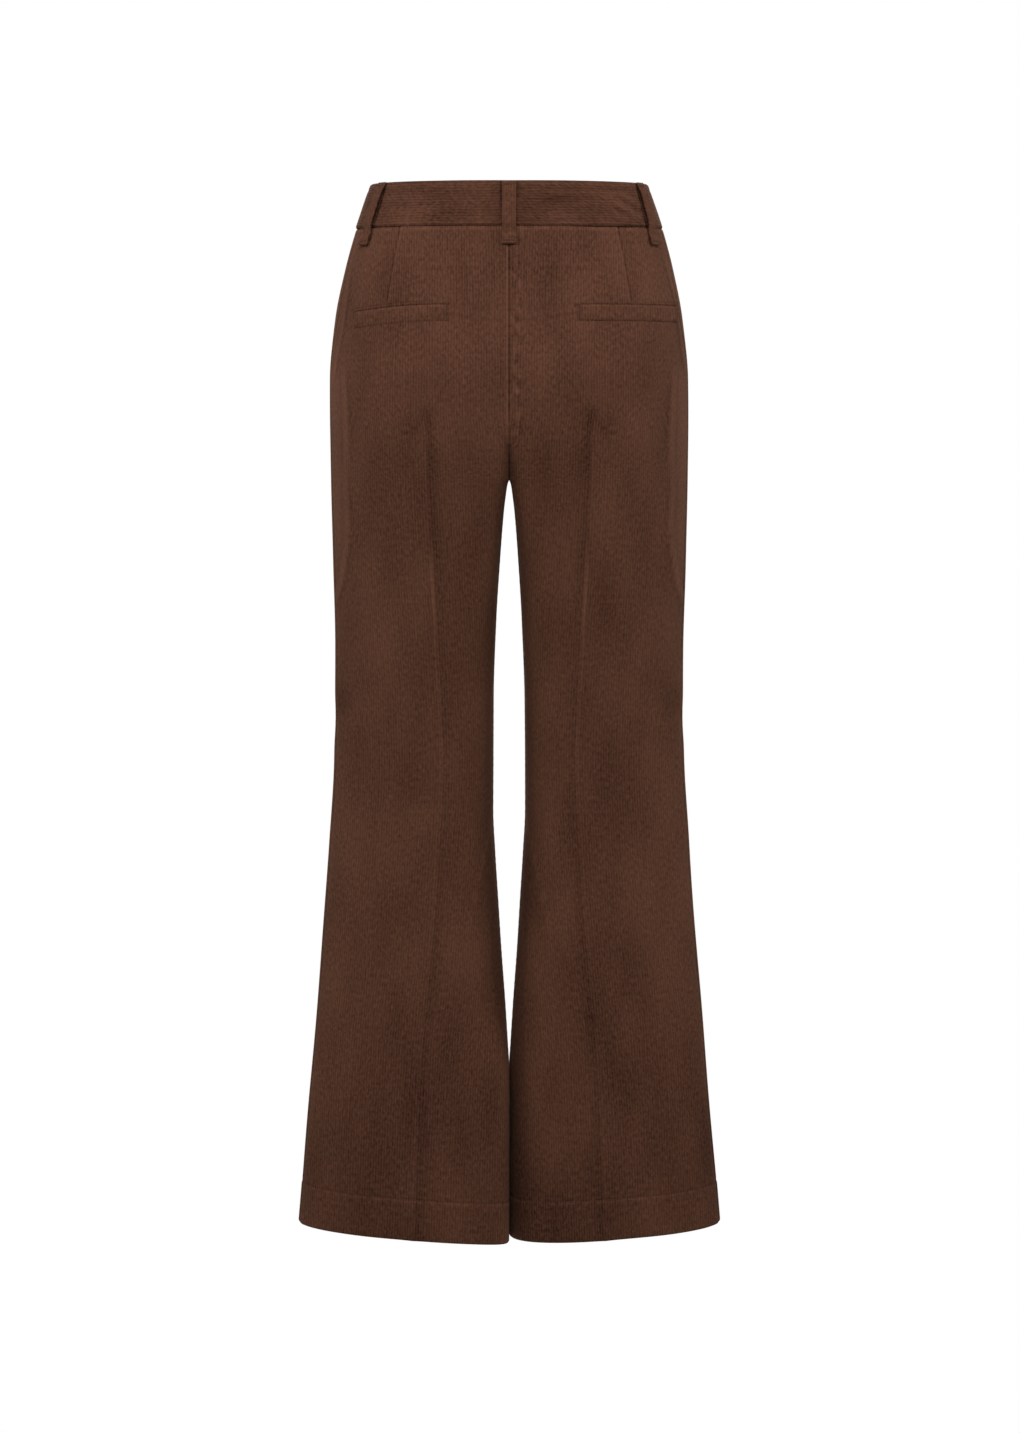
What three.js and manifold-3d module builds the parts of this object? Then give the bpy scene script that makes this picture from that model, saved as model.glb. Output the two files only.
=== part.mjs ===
// Women's high-waisted, flared corduroy trousers, filled out as if worn, with nobody in them.
// Millimetres. +Z is up, -Y is the front of the garment and +X is the wearer's left.
// The origin is the middle of the waistband, half way up it, where the wearer's waist holds the garment.
//
// Every piece of cloth is a thin wall. Its outer face is one smooth surface, worked out from level
// sections of the left half of the garment: a hip ring above the crotch and a leg ring below it.
// The right half is its mirror image, but for the hems, where the left leg laps a little over the right.
import * as THREE from "three";
import { mergeVertices } from "three/addons/utils/BufferGeometryUtils.js";
import Module from "manifold-3d";

const wasm = await Module();
wasm.setup();

// Cloth and seams.
const CLOTH = 1.4; // one layer of corduroy
const SEAM_GAP = 0.3; // between pieces that are sewn together
const LAY_GAP = 0.4; // between a panel and a piece that lies on it
const RAISED = 1.2; // thickness of a welt or the fly, over the panel

// Heights.
const BAND_TOP = 21;
const BAND_SEAM = -22;
const PANEL_TOP = -22.6;
const CREASE_TOP = -205; // where the pressed crease starts, under the seat
const DART_TIP = -98;
const CROTCH = -266;
const HEM = -1027; // half way across a leg
const HEM_DEPTH = 42; // cloth turned up inside the hem
const HEM_TILT = 8; // a hem is this much higher at the side seam, and lower at the inseam
const FRONT_DIP = 9; // the waist is this much lower at the centre front

// The sections. outer is the half width at the side, and crown is how far from the middle the section is
// deepest. back and front are its depth there, and side is where along Y it is widest. full is 2 for an
// ellipse and more for a squarer curve.
const SECTIONS = [
  { z: 24, outer: 134.5, crown: 20, back: 96, front: 92, side: 0, full: 2 },
  { z: -22, outer: 150.8, crown: 32, back: 101, front: 97, side: 0, full: 2 },
  { z: -60, outer: 161.3, crown: 48, back: 108, front: 100, side: 1, full: 2 },
  { z: -110, outer: 171.2, crown: 66, back: 117, front: 102.5, side: 2, full: 2 },
  { z: -170, outer: 176.6, crown: 78, back: 124, front: 104, side: 3, full: 2 },
  { z: -220, outer: 177.1, crown: 80, back: 124, front: 103, side: 3, full: 2 },
  { z: -266, outer: 176.9, crown: 79, back: 117, front: 99, side: 3, full: 2 },
  { z: -350, outer: 175.1, crown: 75, back: 99, front: 93, side: 2, full: 2 },
  { z: -430, outer: 173.4, crown: 71, back: 82, front: 84, side: -1, full: 2 },
  { z: -545, outer: 174.8, crown: 67, back: 63, front: 70, side: -4, full: 2.05 },
  { z: -630, outer: 180.5, crown: 71, back: 57.5, front: 64.5, side: -4, full: 2.1 },
  { z: -735, outer: 188.3, crown: 79, back: 54, front: 59.5, side: -3, full: 2.15 },
  { z: -840, outer: 197.1, crown: 89, back: 52.5, front: 57, side: -2, full: 2.2 },
  { z: -915, outer: 203.5, crown: 93, back: 51, front: 55, side: -2, full: 2.25 },
  { z: -1030, outer: 213.3, crown: 97, back: 50, front: 53, side: -2, full: 2.35 },
];

// How far from the middle the main line of each face runs: the pressed creases, and at the back above them
// the darts.
const LINES = [
  { z: 24, back: 103, front: 66 },
  { z: -22, back: 105.5, front: 70 },
  { z: -60, back: 112, front: 73 },
  { z: -110, back: 118, front: 76 },
  { z: -170, back: 90, front: 78 },
  { z: -220, back: 80, front: 80 },
  { z: -266, back: 79, front: 79 },
  { z: -350, back: 75, front: 75 },
  { z: -430, back: 71, front: 71 },
  { z: -545, back: 67, front: 67 },
  { z: -630, back: 71, front: 71 },
  { z: -735, back: 79, front: 79 },
  { z: -840, back: 89, front: 89 },
  { z: -915, back: 93, front: 93 },
  { z: -1030, back: 97, front: 97 },
];

// Half of the gap between the legs, and where along Y the inseam runs.
const INSEAM = [
  { z: -266, half: 0.15, depth: -6 },
  { z: -270, half: 1.7, depth: -6 },
  { z: -280, half: 3.1, depth: -6 },
  { z: -309, half: 6.0, depth: -5 },
  { z: -350, half: 9.1, depth: -4 },
  { z: -410, half: 13.0, depth: -3 },
  { z: -490, half: 15.8, depth: -3 },
  { z: -600, half: 16.0, depth: -4 },
  { z: -640, half: 14.1, depth: -4 },
  { z: -691, half: 11.1, depth: -4 },
  { z: -742, half: 8.1, depth: -3 },
  { z: -793, half: 4.3, depth: -3 },
  { z: -844, half: 1.2, depth: -2 },
  { z: -880, half: 0.4, depth: -2 },
  { z: -1030, half: 0.4, depth: -2 },
];

// The side seam lies this far behind the widest point, along the cloth.
const SIDE_SEAM = [
  { z: 24, behind: 18 },
  { z: -60, behind: 27 },
  { z: -105, behind: 33 },
  { z: -165, behind: 23 },
  { z: -300, behind: 24 },
  { z: -545, behind: 14 },
  { z: -1030, behind: 10 },
];

// The crotch seam turns up from the crotch in a rounded corner. square is 2 for a quarter of an ellipse and
// more for a fuller corner. share is how deep the centre seam then runs, as a share of the section's depth
// at its crown.
const RISE = {
  back: { height: 62, share: 0.99, square: 2.2 },
  front: { height: 62, share: 1.05, square: 2.2 },
};
// How round a section is between its crown and its inner end. 1 is an ellipse, and less is a fuller corner.
const CORNER = [
  { z: -266, round: 0.1 },
  { z: -285, round: 0.13 },
  { z: -320, round: 0.18 },
  { z: -400, round: 0.28 },
  { z: -480, round: 0.45 },
  { z: -600, round: 0.8 },
  { z: -720, round: 1 },
];
// Above the crotch the dip beside the centre seam keeps its depth at first and then gets shallower.
const SEAM_DIP = { shallower: 0.45, over: 40, roundest: 1.2 };

// Where the legs touch, the left one's inseam lies further back than the right one's.
const LAP = { from: -740, to: -880, leftBack: 8, rightFront: 8 };

const CREASE = 1.6; // how far a pressed crease stands out
const DART = 0.9; // how far a dart pulls in

// Soft folds in the cloth of a back or front panel: centre along the section's X and along Z, half
// lengths, tilt in degrees, and depth, which is negative for a trough.
const FOLDS = [
  { face: "back", x: 163, z: -486, long: 34, wide: 13, tilt: -28, depth: -3.2 },
  { face: "back", x: 158, z: -515, long: 30, wide: 16, tilt: -20, depth: 2.0 },
  { face: "back", x: 74, z: -245, long: 62, wide: 12, tilt: 84, depth: -2.6 },
  { face: "back", x: 34, z: -205, long: 60, wide: 22, tilt: 74, depth: 2.4 },
  { face: "back", x: 36, z: -300, long: 60, wide: 18, tilt: 70, depth: -2.2 },
  { face: "front", x: 62, z: -212, long: 55, wide: 20, tilt: 38, depth: -2.2 },
  { face: "front", x: 42, z: -246, long: 45, wide: 18, tilt: 30, depth: -1.8 },
  { face: "front", x: 150, z: -500, long: 36, wide: 16, tilt: -24, depth: -2.8 },
  { face: "front", x: 46, z: -520, long: 32, wide: 16, tilt: 22, depth: -2.4 },
];

const BELT_LOOP = { wide: 14, thick: 1.8, slack: 3.3, below: 18, foldedUp: 9 };
// Where a loop's middle lies at its top and at its low end, as a share of the half width there.
const LOOP_PLACES = {
  sideLeft: { top: 0.895, low: 0.9 },
  sideRight: { top: 0.925, low: 0.9 },
  front: { top: 0.56, low: 0.57 },
};
const BAND = { proud: 0.8, thick: 3.2, underlap: 32, underlapGap: 0.7, overlap: 2 };
const WELT = { top: -97, tall: 15.5 };
// From inner to outer along X. The outer end is lower by drop.
const WELT_SPAN = {
  left: { inner: 59, outer: 150, drop: 7 },
  right: { inner: 67, outer: 164, drop: 1 },
};
const FLY = { wide: 38, long: 172, cornerRadius: 36, fromMiddle: 0.6 };
const BUTTON = { radius: 9, thick: 3.4, rim: 1.4, dish: 0.9, fromMiddle: 12, stand: 0.1 };
const BUTTON_HOLES = { count: 4, radius: 1.1, fromCentre: 2.3 };

// How finely the walls are divided.
const ACROSS = 7; // columns on each side of a fold line
const CLOSER = 1.35; // above 1, the columns are closer together at a panel's edges
const WALL_HEIGHTS = [
  PANEL_TOP, -45, -72, DART_TIP, -125, -150, -172, -190, CREASE_TOP - 2, -222, -236, -247, -255, -260.5, -264,
  CROTCH, -271, -284, -305, -330, -358, -388, -418, -446, -470, -486, -500, -515, -532, -560, -595, -632,
  -670, -710, -752, -795, -836, -872, -910, -950, HEM + HEM_DEPTH + 1, HEM + HEM_DEPTH, HEM,
];

const smooth = (from, to, at) => {
  const t = Math.min(1, Math.max(0, (at - from) / (to - from)));
  return t * t * (3 - 2 * t);
};

// A value of a table at a height, on a smooth curve that doesn't overshoot between the rows.
function at(table, column, z) {
  const last = table.length - 1;
  if (z >= table[0].z) return table[0][column];
  if (z <= table[last].z) return table[last][column];
  const i = table.findIndex((row) => row.z < z) - 1;
  const slope = (k) => (table[k + 1][column] - table[k][column]) / (table[k + 1].z - table[k].z);
  const tangent = (k) => {
    if (k === 0) return slope(0);
    if (k === last) return slope(last - 1);
    const [a, b] = [slope(k - 1), slope(k)];
    return a * b <= 0 ? 0 : (2 * a * b) / (a + b);
  };
  const step = table[i + 1].z - table[i].z;
  const t = (z - table[i].z) / step;
  return (
    table[i][column] * (1 + 2 * t) * (1 - t) ** 2 +
    tangent(i) * step * t * (1 - t) ** 2 +
    table[i + 1][column] * t * t * (3 - 2 * t) +
    tangent(i + 1) * step * t * t * (t - 1)
  );
}

// Where a section meets the inseam below the crotch, or the centre seam above it.
function innerEnd(z, face, side) {
  const sign = face === "back" ? 1 : -1;
  if (z > CROTCH) {
    const crotch = INSEAM[0];
    const { height, share, square } = RISE[face];
    const t = Math.min(1, (z - CROTCH) / height);
    const deep = sign * at(SECTIONS, face, z) * share;
    const run = (1 - (1 - t) ** square) ** (1 / square);
    return { x: crotch.half, y: crotch.depth + (deep - crotch.depth) * run };
  }
  const lap = smooth(LAP.from, LAP.to, z);
  const shift = side < 0 ? -LAP.rightFront * lap : LAP.leftBack * lap;
  return { x: at(INSEAM, "half", z), y: at(INSEAM, "depth", z) + shift };
}

// How round the corner is at a height, where the seam lies at endY in a section this deep.
function cornerRound(z, face, deep, endY) {
  const round = at(CORNER, "round", z);
  if (z <= CROTCH) return round;
  const sign = face === "back" ? 1 : -1;
  const { shallower, over, roundest } = SEAM_DIP;
  const atCrotch = at(SECTIONS, face, CROTCH) - sign * INSEAM[0].depth;
  const here = Math.max(1, sign * (deep - endY));
  const wanted = round * (atCrotch / here) * (1 - shallower * smooth(CROTCH, CROTCH + over, z));
  return wanted / (1 + (wanted / roundest) ** 3) ** (1 / 3);
}

// One face of a section, as closely spaced points from the widest point to its inner end.
function facePoints(z, face, side) {
  const sign = face === "back" ? 1 : -1;
  const [outer, crown, middle, full] = ["outer", "crown", "side", "full"].map((c) => at(SECTIONS, c, z));
  const deep = sign * at(SECTIONS, face, z);
  const end = innerEnd(z, face, side);
  const power = (2 / full) * cornerRound(z, face, deep, end.y);
  const steps = 60;
  const points = [];
  for (let i = 0; i <= steps; i++) {
    const a = (i / steps) * (Math.PI / 2);
    const [outwards, deeper] = [Math.cos(a) ** (2 / full), Math.sin(a) ** (2 / full)];
    points.push({ x: crown + (outer - crown) * outwards, y: middle + (deep - middle) * deeper });
  }
  for (let i = 1; i <= steps; i++) {
    const a = (i / steps) * (Math.PI / 2);
    points.push({
      x: crown - (crown - end.x) * Math.sin(a) ** (2 / full),
      y: end.y + (deep - end.y) * Math.cos(a) ** power,
    });
  }
  return points;
}

// A whole half section as a line that is measured from the widest point: towards the back it counts up
// and towards the front it counts down.
function sectionLine(z, side) {
  const measure = (points, sign) => {
    let along = 0;
    return points.map((p, i) => {
      if (i) along += Math.hypot(p.x - points[i - 1].x, p.y - points[i - 1].y);
      return { x: p.x, y: p.y, along: sign * along };
    });
  };
  const back = measure(facePoints(z, "back", side), 1);
  const front = measure(facePoints(z, "front", side), -1);
  return [...front.slice(1).reverse(), ...back];
}

function pointAlong(line, along) {
  const found = line.findIndex((p) => p.along >= along);
  const i = Math.max(1, found < 0 ? line.length - 1 : found);
  const [a, b] = [line[i - 1], line[i]];
  const t = (along - a.along) / (b.along - a.along);
  return { x: a.x + (b.x - a.x) * t, y: a.y + (b.y - a.y) * t };
}

// How far along the line a face reaches a given distance from the middle of the garment.
function alongAtX(line, face, x) {
  const half = line.filter((p) => (face === "back" ? p.along >= 0 : p.along <= 0));
  const outwards = face === "back" ? half : half.reverse();
  const i = Math.max(1, outwards.findIndex((p) => p.x <= x));
  const [a, b] = [outwards[i - 1], outwards[i]];
  return a.along + ((b.along - a.along) * (x - a.x)) / (b.x - a.x);
}

// The hems tilt and the front of the waist dips, so a point moves up or down from its section's height.
function raised(z, p) {
  const hem = smooth(-700, HEM, z) * HEM_TILT * ((p.x - 106) / 106);
  const dip = smooth(-160, BAND_SEAM, z) * FRONT_DIP * Math.max(0, -p.y / 97) ** 2;
  return z + hem - dip;
}

const place = (p, z, side) => new THREE.Vector3(side * p.x, p.y, raised(z, p));

// Columns of a panel at one height: from the side seam to the fold line, and on to the inner end. Each has
// the direction of the cloth there, which two panels that meet have in common.
function columnsAt(z, face, side) {
  const line = sectionLine(z, side);
  const sign = face === "back" ? 1 : -1;
  const [first, last] = [line[0].along, line[line.length - 1].along];
  const seam = at(SIDE_SEAM, "behind", z) + (sign * SEAM_GAP) / 2;
  const fold = alongAtX(line, face, at(LINES, face, z));
  const inner = sign > 0 ? last : first;
  const end = z > CROTCH ? inner : inner - (sign * SEAM_GAP) / 2;
  const round = (along) => {
    if (z > CROTCH) return Math.min(last, Math.max(first, along));
    return along > last ? along - last + first : along < first ? along - first + last : along;
  };
  const step = 1.5 * sign;
  return Array.from({ length: 2 * ACROSS + 1 }, (_, i) => {
    const t = Math.abs(i / ACROSS - 1);
    const share = 1 - (1 - t) ** CLOSER;
    const along = fold + ((i < ACROSS ? seam : end) - fold) * share;
    const [before, after] = [along - step, along + step].map((near) => pointAlong(line, round(near)));
    return { ...pointAlong(line, along), dx: after.x - before.x, dy: after.y - before.y };
  });
}

// How far the cloth stands out of the smooth surface there.
function relief(face, column, p, z) {
  let out = 0;
  if (column === ACROSS) {
    if (z < CREASE_TOP) out += CREASE * smooth(CREASE_TOP, CREASE_TOP - 60, z);
    if (face === "back") out -= DART * smooth(DART_TIP, DART_TIP + 30, z);
  }
  const fromSeam = smooth(0, 22, p.x - at(INSEAM, "half", z));
  for (const f of FOLDS) {
    if (f.face !== face) continue;
    const a = THREE.MathUtils.degToRad(f.tilt);
    const [dx, dz] = [p.x - f.x, z - f.z];
    const along = (dx * Math.cos(a) + dz * Math.sin(a)) / f.long;
    const across = (-dx * Math.sin(a) + dz * Math.cos(a)) / f.wide;
    out += fromSeam * f.depth * Math.exp(-along * along - across * across);
  }
  return out;
}

// Outward normals of a grid of points. turn is 1 or -1, as the grid runs.
function normalsOf(grid, turn, across = (r, c) => spanOf(grid[r], c)) {
  return grid.map((row, r) =>
    row.map((_, c) => {
      const down = grid[Math.min(r + 1, grid.length - 1)][c].clone().sub(grid[Math.max(r - 1, 0)][c]);
      return across(r, c).cross(down).multiplyScalar(turn).normalize();
    }),
  );
}

const spanOf = (row, c) => row[Math.min(c + 1, row.length - 1)].clone().sub(row[Math.max(c - 1, 0)]);

const movedOut = (grid, normals, by) =>
  grid.map((row, r) => row.map((p, c) => p.clone().addScaledVector(normals[r][c], by(r, c))));

// A closed wall between two grids of points. turn is 1 or -1, as the grids run.
function wall(outside, inside, turn) {
  const rows = outside.length;
  const columns = outside[0].length;
  const positions = [...outside.flat(), ...inside.flat()].flatMap((p) => [p.x, p.y, p.z]);
  const index = [];
  const face = (a, b, c) => index.push(...(turn > 0 ? [a, b, c] : [a, c, b]));
  const quad = (a, b, c, d) => {
    face(a, b, c);
    face(a, c, d);
  };
  const out = (r, c) => r * columns + c;
  const inn = (r, c) => rows * columns + r * columns + c;
  for (let r = 0; r + 1 < rows; r++) {
    for (let c = 0; c + 1 < columns; c++) {
      quad(out(r, c), out(r, c + 1), out(r + 1, c + 1), out(r + 1, c));
      quad(inn(r, c), inn(r + 1, c), inn(r + 1, c + 1), inn(r, c + 1));
    }
    quad(out(r, 0), out(r + 1, 0), inn(r + 1, 0), inn(r, 0));
    quad(out(r, columns - 1), inn(r, columns - 1), inn(r + 1, columns - 1), out(r + 1, columns - 1));
  }
  for (let c = 0; c + 1 < columns; c++) {
    quad(out(0, c), inn(0, c), inn(0, c + 1), out(0, c + 1));
    quad(out(rows - 1, c), out(rows - 1, c + 1), inn(rows - 1, c + 1), inn(rows - 1, c));
  }
  const geometry = new THREE.BufferGeometry();
  geometry.setAttribute("position", new THREE.Float32BufferAttribute(positions, 3));
  geometry.setIndex(index);
  geometry.computeVertexNormals();
  return geometry;
}

// A front or back panel of one leg, from the waistband's seam to the hem.
function panel(face, side) {
  const turn = face === "back" ? -side : side;
  const columns = WALL_HEIGHTS.map((z) => columnsAt(z, face, side));
  const grid = columns.map((row, r) => row.map((p) => place(p, WALL_HEIGHTS[r], side)));
  const across = (r, c) => new THREE.Vector3(side * columns[r][c].dx, columns[r][c].dy, 0);
  const normals = normalsOf(grid, turn, across);
  const out = (r, c) => {
    const atEdge = c === 0 || c === 2 * ACROSS || r === 0;
    return atEdge ? 0 : relief(face, c, columns[r][c], WALL_HEIGHTS[r]);
  };
  const thick = (r) => (WALL_HEIGHTS[r] <= HEM + HEM_DEPTH ? 2 * CLOTH : CLOTH);
  const outside = keptClear(movedOut(grid, normals, out), side);
  const inside = keptClear(movedOut(grid, normals, (r, c) => out(r, c) - thick(r)), side);
  return wall(outside, inside, turn);
}

// No point of a panel comes nearer to the other half of the garment than half a seam's gap.
const keptClear = (grid, side) =>
  grid.map((row) => row.map((p) => p.setX(side * Math.max(side * p.x, SEAM_GAP / 2))));

// A point of the waist on the whole ring, counted along the cloth from the centre back. Up to half way
// it is on the wearer's left, and beyond that it is on the right.
function waistRing(z) {
  const line = sectionLine(z, 1).reverse();
  const start = line[0].along;
  const half = start - line[line.length - 1].along;
  const find = (along) => {
    const left = along <= half;
    const counted = left ? along : 2 * half - along;
    const p = pointAlong([...line].reverse(), start - Math.abs(counted));
    return { x: (left ? 1 : -1) * (counted < 0 ? -1 : 1) * p.x, y: p.y };
  };
  return { z, half, find };
}

// A grid of points on the waist, from a list of heights. along(ring, i) gives a point's place on the ring.
function waistGrid(heights, count, along) {
  return heights.map((z) => {
    const ring = waistRing(z);
    return Array.from({ length: count }, (_, i) => {
      const p = ring.find(along(ring, i));
      return new THREE.Vector3(p.x, p.y, raised(z, { x: Math.abs(p.x), y: p.y }));
    });
  });
}

// Half of the waistband. The left half ends over the centre front, and the right half runs on under it.
function waistband(side) {
  const count = 49;
  const heights = [BAND_TOP, (BAND_TOP + BAND_SEAM) / 2, BAND_SEAM];
  const past = side > 0 ? BAND.overlap : BAND.underlap;
  const along = (ring, i) => {
    const t = i / (count - 1);
    const run = SEAM_GAP / 2 + (ring.half + past - SEAM_GAP / 2) * t;
    return side > 0 ? run : 2 * ring.half - run;
  };
  const grid = waistGrid(heights, count, along);
  const normals = normalsOf(grid, side);
  // The underlap steps in behind the other half, by that half's thickness.
  const stepIn = (r, c) => {
    if (side > 0 || grid[r][c].y > 0) return 0;
    return (BAND.thick + BAND.underlapGap) * smooth(-26, -8, grid[r][c].x);
  };
  const outside = movedOut(grid, normals, (r, c) => BAND.proud - stepIn(r, c));
  const inside = movedOut(grid, normals, (r, c) => BAND.proud - BAND.thick - stepIn(r, c));
  return wall(outside, inside, side);
}

// The same grid, laid on the outside of what is already built, along its own normals.
const ray = new THREE.Raycaster();
function laid(grid, normals, on) {
  return grid.map((row, r) =>
    row.map((p, c) => {
      ray.set(p.clone().addScaledVector(normals[r][c], 40), normals[r][c].clone().negate());
      return ray.intersectObjects(on, false)[0].point;
    }),
  );
}

// A belt loop: a strap that stands off the band between its two sewn ends.
function beltLoop(alongOf, on) {
  const heights = [20.5, 18, 13, 6, 0, -6, -13, -19, -24, -29, -31, -35, BAND_SEAM - BELT_LOOP.below];
  const columns = 4;
  const offset = (i) => (i / (columns - 1) - 0.5) * BELT_LOOP.wide;
  const grid = waistGrid(heights, columns, (ring, i) => alongOf(ring) + offset(i));
  const normals = normalsOf(grid, 1);
  const base = laid(grid, normals, on);
  const stand = (z) => LAY_GAP + BELT_LOOP.slack * smooth(BAND_TOP, 8, z) * smooth(-31, -18, z);
  const folded = (z) => (z <= BAND_SEAM - BELT_LOOP.foldedUp ? 1.2 : 0);
  const inside = movedOut(base, normals, (r) => stand(heights[r]));
  const outside = movedOut(base, normals, (r) => stand(heights[r]) + BELT_LOOP.thick + folded(heights[r]));
  return wall(outside, inside, 1);
}

// A flat piece that lies on a face of the body. spot(down, out) gives its x and height, from 0 to 1 each way.
function patch(rows, columns, face, turn, on, spot) {
  const grid = Array.from({ length: rows }, (_, r) =>
    Array.from({ length: columns }, (_, c) => {
      const { x, z } = spot(r / (rows - 1), c / (columns - 1));
      const line = sectionLine(z, 1);
      const p = pointAlong(line, alongAtX(line, face, Math.abs(x)));
      return new THREE.Vector3(x, p.y, raised(z, { x: Math.abs(x), y: p.y }));
    }),
  );
  const normals = normalsOf(grid, turn);
  const base = laid(grid, normals, on);
  const inside = movedOut(base, normals, () => LAY_GAP);
  const outside = movedOut(base, normals, () => LAY_GAP + RAISED);
  return wall(outside, inside, turn);
}

// A pocket welt on a back panel. Its outer end is a little lower.
function welt(side, on) {
  const span = side > 0 ? WELT_SPAN.left : WELT_SPAN.right;
  return patch(6, 31, "back", side, on, (down, out) => ({
    x: side * (span.inner + (span.outer - span.inner) * out),
    z: WELT.top - WELT.tall * down - span.drop * out * out,
  }));
}

// The fly: the lap down the left front's edge, which ends below in a round corner.
function fly(on) {
  const top = PANEL_TOP - 0.5;
  const bottom = top - FLY.long;
  const widthAt = (z) => {
    const up = Math.max(0, FLY.cornerRadius - (z - bottom)) / FLY.cornerRadius;
    return FLY.wide - FLY.cornerRadius * (1 - Math.sqrt(Math.max(0, 1 - up * up)));
  };
  return patch(31, 8, "front", -1, on, (down, out) => {
    const z = top - FLY.long * Math.sin((down * Math.PI) / 2);
    return { x: FLY.fromMiddle + (widthAt(z) - FLY.fromMiddle) * out, z };
  });
}

function solidOf(geometry) {
  const g = geometry.clone();
  g.deleteAttribute("normal");
  g.deleteAttribute("uv");
  const merged = mergeVertices(g, 1e-4);
  return new wasm.Manifold(
    new wasm.Mesh({
      numProp: 3,
      vertProperties: merged.attributes.position.array,
      triVerts: new Uint32Array(merged.index.array),
    }),
  );
}

function geometryOf(solid) {
  const mesh = solid.getMesh();
  const geometry = new THREE.BufferGeometry();
  geometry.setAttribute("position", new THREE.BufferAttribute(new Float32Array(mesh.vertProperties), 3));
  geometry.setIndex(new THREE.BufferAttribute(new Uint32Array(mesh.triVerts), 1));
  geometry.computeVertexNormals();
  return geometry;
}

// A four-hole button: a turned disc with a raised rim, lying in its own XZ plane and facing +Y.
function button() {
  const { radius, thick, rim, dish } = BUTTON;
  const profile = [
    [0, 0],
    [radius - 1.2, 0],
    [radius, 1.0],
    [radius, thick - 0.8],
    [radius - 0.6, thick],
    [radius - rim, thick],
    [radius - rim - 1.0, thick - dish],
    [0, thick - dish],
  ].map(([r, y]) => new THREE.Vector2(r, y));
  let solid = solidOf(new THREE.LatheGeometry(profile, 36));
  const { count, radius: drilled, fromCentre } = BUTTON_HOLES;
  for (let i = 0; i < count; i++) {
    const angle = ((i + 0.5) * 2 * Math.PI) / count;
    const drill = new THREE.CylinderGeometry(drilled, drilled, 4 * thick, 12);
    drill.translate(fromCentre * Math.cos(angle), 0, fromCentre * Math.sin(angle));
    solid = solid.subtract(solidOf(drill));
  }
  return geometryOf(solid);
}

const cord = new THREE.MeshStandardMaterial({ color: "#52362b", roughness: 0.95, metalness: 0 });
const horn = new THREE.MeshStandardMaterial({ color: "#33211a", roughness: 0.35, metalness: 0 });

const trousers = new THREE.Group();
const add = (name, geometry, material = cord) => {
  const mesh = new THREE.Mesh(geometry, material);
  mesh.name = name;
  trousers.add(mesh);
  return mesh;
};

for (const [name, side] of [["left", 1], ["right", -1]]) {
  const back = add(`back_${name}`, panel("back", side));
  add(`front_${name}`, panel("front", side));
  add(`waistband_${name}`, waistband(side));
  add(`welt_${name}`, welt(side, [back]));
}
add("fly", fly([trousers.getObjectByName("front_left")]));

// Places of the belt loops, along the cloth from the centre back.
const body = trousers.children.filter((mesh) => /^(back|front|waistband)_/.test(mesh.name));
const alongTo = (face, place) => (ring) => {
  const low = BAND_SEAM - BELT_LOOP.below;
  const share = place.low + (place.top - place.low) * ((ring.z - low) / (BAND_TOP - low));
  const line = sectionLine(ring.z, 1);
  return line[line.length - 1].along - alongAtX(line, face, share * at(SECTIONS, "outer", ring.z));
};
const sideLeft = alongTo("back", LOOP_PLACES.sideLeft);
const sideRight = alongTo("back", LOOP_PLACES.sideRight);
const front = alongTo("front", LOOP_PLACES.front);
add("loop_back", beltLoop(() => 0, body));
add("loop_side_left", beltLoop(sideLeft, body));
add("loop_side_right", beltLoop((ring) => 2 * ring.half - sideRight(ring), body));
add("loop_front_left", beltLoop(front, body));
add("loop_front_right", beltLoop((ring) => 2 * ring.half - front(ring), body));

// The button faces out of the band, over the end of its left half, and lies along the band's slope.
const bandAt = (x, z) => {
  ray.set(new THREE.Vector3(x, -200, z - FRONT_DIP), new THREE.Vector3(0, 1, 0));
  return ray.intersectObjects(body, false)[0].point;
};
const middle = BUTTON.fromMiddle;
const upwards = bandAt(middle, BUTTON.radius).sub(bandAt(middle, -BUTTON.radius));
const sideways = bandAt(middle + BUTTON.radius, 0).sub(bandAt(middle - BUTTON.radius, 0));
const facing = sideways.cross(upwards).normalize();
const fastener = add("button", button(), horn);
fastener.quaternion.setFromUnitVectors(new THREE.Vector3(0, 1, 0), facing);
fastener.position.copy(bandAt(middle, 0)).addScaledVector(facing, LAY_GAP + BUTTON.stand);

export default trousers;
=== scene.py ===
import math
from types import SimpleNamespace

import bpy
import numpy as np
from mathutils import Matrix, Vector


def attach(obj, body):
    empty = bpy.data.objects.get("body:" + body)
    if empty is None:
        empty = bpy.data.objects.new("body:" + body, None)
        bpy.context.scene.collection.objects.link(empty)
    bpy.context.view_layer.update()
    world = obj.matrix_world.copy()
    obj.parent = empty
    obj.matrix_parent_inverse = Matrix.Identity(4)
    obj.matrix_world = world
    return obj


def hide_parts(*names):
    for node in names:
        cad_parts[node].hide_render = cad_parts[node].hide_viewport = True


# Women's high-waisted, flared corduroy trousers, filled out as if worn, with nobody in them.
# Shapes are worked out in millimetres and turned to metres when a mesh is made. +Z is up, -Y is the front
# of the garment and +X is the wearer's left.

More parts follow.
